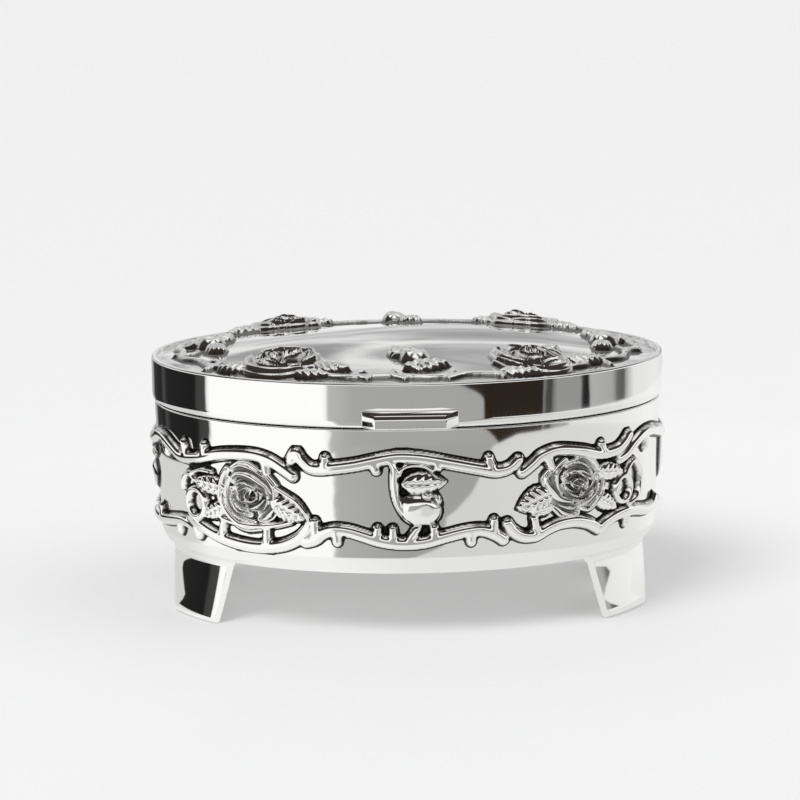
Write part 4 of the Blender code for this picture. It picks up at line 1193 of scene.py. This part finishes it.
cardShape = {
    # grey levels at degrees round the stage, from the front and positive to the right
    "wall": (
        (-180, 0.6), (-146, 0.45), (-138, 0.04), (-122, 0.02), (-118, 0.07), (-113, 0.02), (-86, 0.014),
        (-84.5, 0.05), (-78.5, 0.06), (-77, 1.05), (-27, 1.05), (-25.6, 0.5), (-18, 0.4), (30, 0.38),
        (46, 0.3), (47, 0.07), (50, 0.06), (51, 0.31), (62.5, 0.3), (63.4, 0.02), (66.6, 0.02),
        (67.6, 0.45), (80, 0.4), (84, 0.14), (88, 0.1), (91, 0.5), (97, 0.82), (125, 0.88), (180, 0.6)),
    "plinth": (
        (-180, 0.75), (-125, 0.68), (-84, 0.7), (-80, 0.8), (-77, 1.03), (-24.8, 1.03), (-23.8, 0.45),
        (0, 0.37), (28, 0.37), (34, 0.68), (75, 0.74), (115, 0.92), (180, 0.75)),
    "beyond": ((-180, 0.68), (20, 0.68), (75, 0.74), (115, 0.92), (180, 0.8)),
    "closeBy": ((-180, 0.7), (-90, 0.75), (-70, 0.95), (-30, 0.95), (0, 0.84), (60, 0.8), (180, 0.8)),
    "lipColor": ((-180, 0.8), (30, 0.8), (80, 0.84), (115, 0.95), (180, 0.8)),
    "roof": (
        (-180, 0.9), (-152, 0.9), (-140, 0.12), (-112, 0.12), (-100, 1), (-62, 1), (-50, 0.15),
        (-32, 0.15), (-20, 0.95), (24, 0.95), (36, 0.2), (58, 0.2), (70, 1), (110, 1), (120, 0.15),
        (140, 0.15), (150, 0.9), (180, 0.9)),
    # how far out the ground reaches, and how high the pale lip does, in millimetres at degrees
    "far": ((-180, 182), (-30, 182), (-20, 193), (28, 193), (37, 207), (45, 211), (56, 218), (62, 224),
            (180, 224)),
    "lip": ((-180, 0), (26, 0), (28, 10.5), (34, 11), (46, 12), (56, 13.5), (76, 14.5), (97, 15), (180, 15)),
    # where the grey in front ends, in degrees at millimetres from the middle
    "greyEnd": ((0, 0), (94, 0), (100, 7), (104, 11), (127, 12), (134, 15.5), (148, 20.5), (158, 22.5),
                (193, 28), (250, 34)),
    "flagColor": (0.026, 0.018, 0.013, 1),
    "darkAbove": (0.04, 0.034, 0.03, 1),
    "satin": ((0.3, 0.3, 0.31, 1), (0.9, 0.9, 0.9, 1)),
}


def levels(paint, azimuth, pairs):
    # a ramp of grey levels round the stage, from (degrees, level) pairs
    stops = [((degrees + 180) / 360, (level, level, level)) for degrees, level in pairs]
    return paint.node("ValToRGB", {"Fac": azimuth / 360 + 0.5}, stops=stops)


def limits(paint, source, pairs, most):
    # the same kind of ramp for lengths and angles, which can pass 1
    return levels(paint, source, tuple((place, limit / most) for place, limit in pairs)) * most


def makeCards():
    radius = stageShape["cardRadius"]
    deselectAll()
    bpy.ops.mesh.primitive_circle_add(vertices=128, radius=radius, fill_type="NGON")
    cards = named("studioCards")
    bpy.ops.object.mode_set(mode="EDIT")
    bpy.ops.mesh.select_all(action="SELECT")
    for rise, scale in ((0.05, 1), (0.1, 1), (0.1, 0.95), (0.08, 0.8), (0.05, 0.5)):
        bpy.ops.mesh.extrude_region_move(TRANSFORM_OT_translate={"value": (0, 0, rise)})
        bpy.ops.transform.resize(value=(scale, scale, 1))
    bpy.ops.object.mode_set(mode="OBJECT")
    paint = Paint(bpy.data.materials.new("studioCards"))
    parts = paint.node("SeparateXYZ", {"Vector": paint.place()})
    x, y, z = (Wire(paint, parts.socket.node.outputs[axis]) for axis in "XYZ")
    azimuth = paint.node("Math", {0: x, 1: 0 - y}, operation="ARCTAN2") * (180 / math.pi)
    reach = paint.node("Math", {0: x * x + y * y, 1: 0.5}, operation="POWER")
    waver = (paint.noise(60, 2) - 0.5) * 3
    turned = azimuth + waver
    reach = reach * 1000
    zInMm = z * 1000
    wall = levels(paint, turned, cardShape["wall"])
    drop = reach + zInMm  # from the floor out to the wall and then up
    arch = (drop - 237).maths("MAXIMUM", 0)
    flagLeft = 24.5 - arch * arch * 0.3 * (1 - drop.between(244, 246))
    flagLow = 28.5 - (drop - 202) * 0.32
    edge = paint.mixColors(drop.between(221, 223), flagLow, flagLeft)
    flag = (turned - edge).between(-0.5, 0.5) * (1 - turned.between(45.8, 46.6))
    wall = paint.mixColors(flag, wall, cardShape["flagColor"])
    plinth = levels(paint, turned, cardShape["plinth"])
    greyEnd = limits(paint, reach - 180, [(mark - 180, end) for mark, end in cardShape["greyEnd"]], 50)
    beyond = (azimuth - greyEnd).between(-0.8, 0.8) * azimuth.between(-1, 0)
    plinth = paint.mixColors(beyond, plinth, levels(paint, turned, cardShape["beyond"]))
    closeBy = 1 - reach.between(80, 96)
    ground = paint.mixColors(closeBy, plinth, levels(paint, turned, cardShape["closeBy"]))
    far = limits(paint, azimuth, cardShape["far"], 250)
    ground = paint.mixColors((reach - far).between(-0.7, 0.7), ground, wall)
    satin = paint.noise(9, 3, stretch=(1, 1, 1.6), distortion=1.6).between(0.3, 0.72)
    rear = paint.mixColors(satin, *cardShape["satin"])
    behind = azimuth.maths("ABSOLUTE").between(100, 125)
    high = zInMm.between(30, 42)
    lip = limits(paint, azimuth, cardShape["lip"], 20)
    lipColor = levels(paint, azimuth, cardShape["lipColor"])
    wall = paint.mixColors((lip - zInMm).between(-0.3, 0.3), wall, lipColor)
    white = paint.mixColors(zInMm.between(80, 115), (1.0, 1.0, 1.0, 1), cardShape["darkAbove"])
    roof = levels(paint, azimuth, cardShape["roof"])
    white = paint.mixColors(zInMm.between(270, 320), white, roof)
    upper = paint.mixColors(behind, white, rear)
    color = paint.mixColors(high, wall, upper)
    color = paint.mixColors(1 - zInMm.between(0.2, 0.8), color, ground)
    cards.data.materials.append(paint.close(paint.node("Emission", {"Color": color, "Strength": 1})))
    for sight in ("visible_camera", "visible_diffuse", "visible_shadow", "visible_transmission"):
        setattr(cards, sight, False)


def makeLight():
    world = bpy.data.worlds.new("studioWorld")
    bpy.context.scene.world = world
    paint = Paint(world)
    seen = paint.node("LightPath", output="Is Camera Ray")
    strength = stageShape["worldLight"] + seen * (1 - stageShape["worldLight"])
    color = {"Color": (1, 1, 1, 1), "Strength": strength}
    paint.close(paint.node("Background", color), "World")
    world.cycles_visibility.glossy = False
    for name, place, softness, power in stageShape["lamps"]:
        data = bpy.data.lights.new(name, "SUN")
        data.angle = math.radians(softness)
        data.energy = power
        lamp = bpy.data.objects.new(name, data)
        bpy.context.scene.collection.objects.link(lamp)
        lamp.location = place
        lamp.rotation_euler = (-Vector(place)).to_track_quat("-Z", "Y").to_euler()
        lamp.visible_glossy = False


makeFloor()
makeCards()
makeLight()
bpy.context.scene.view_settings.view_transform = "Standard"
print("stage made")

deselectAll()
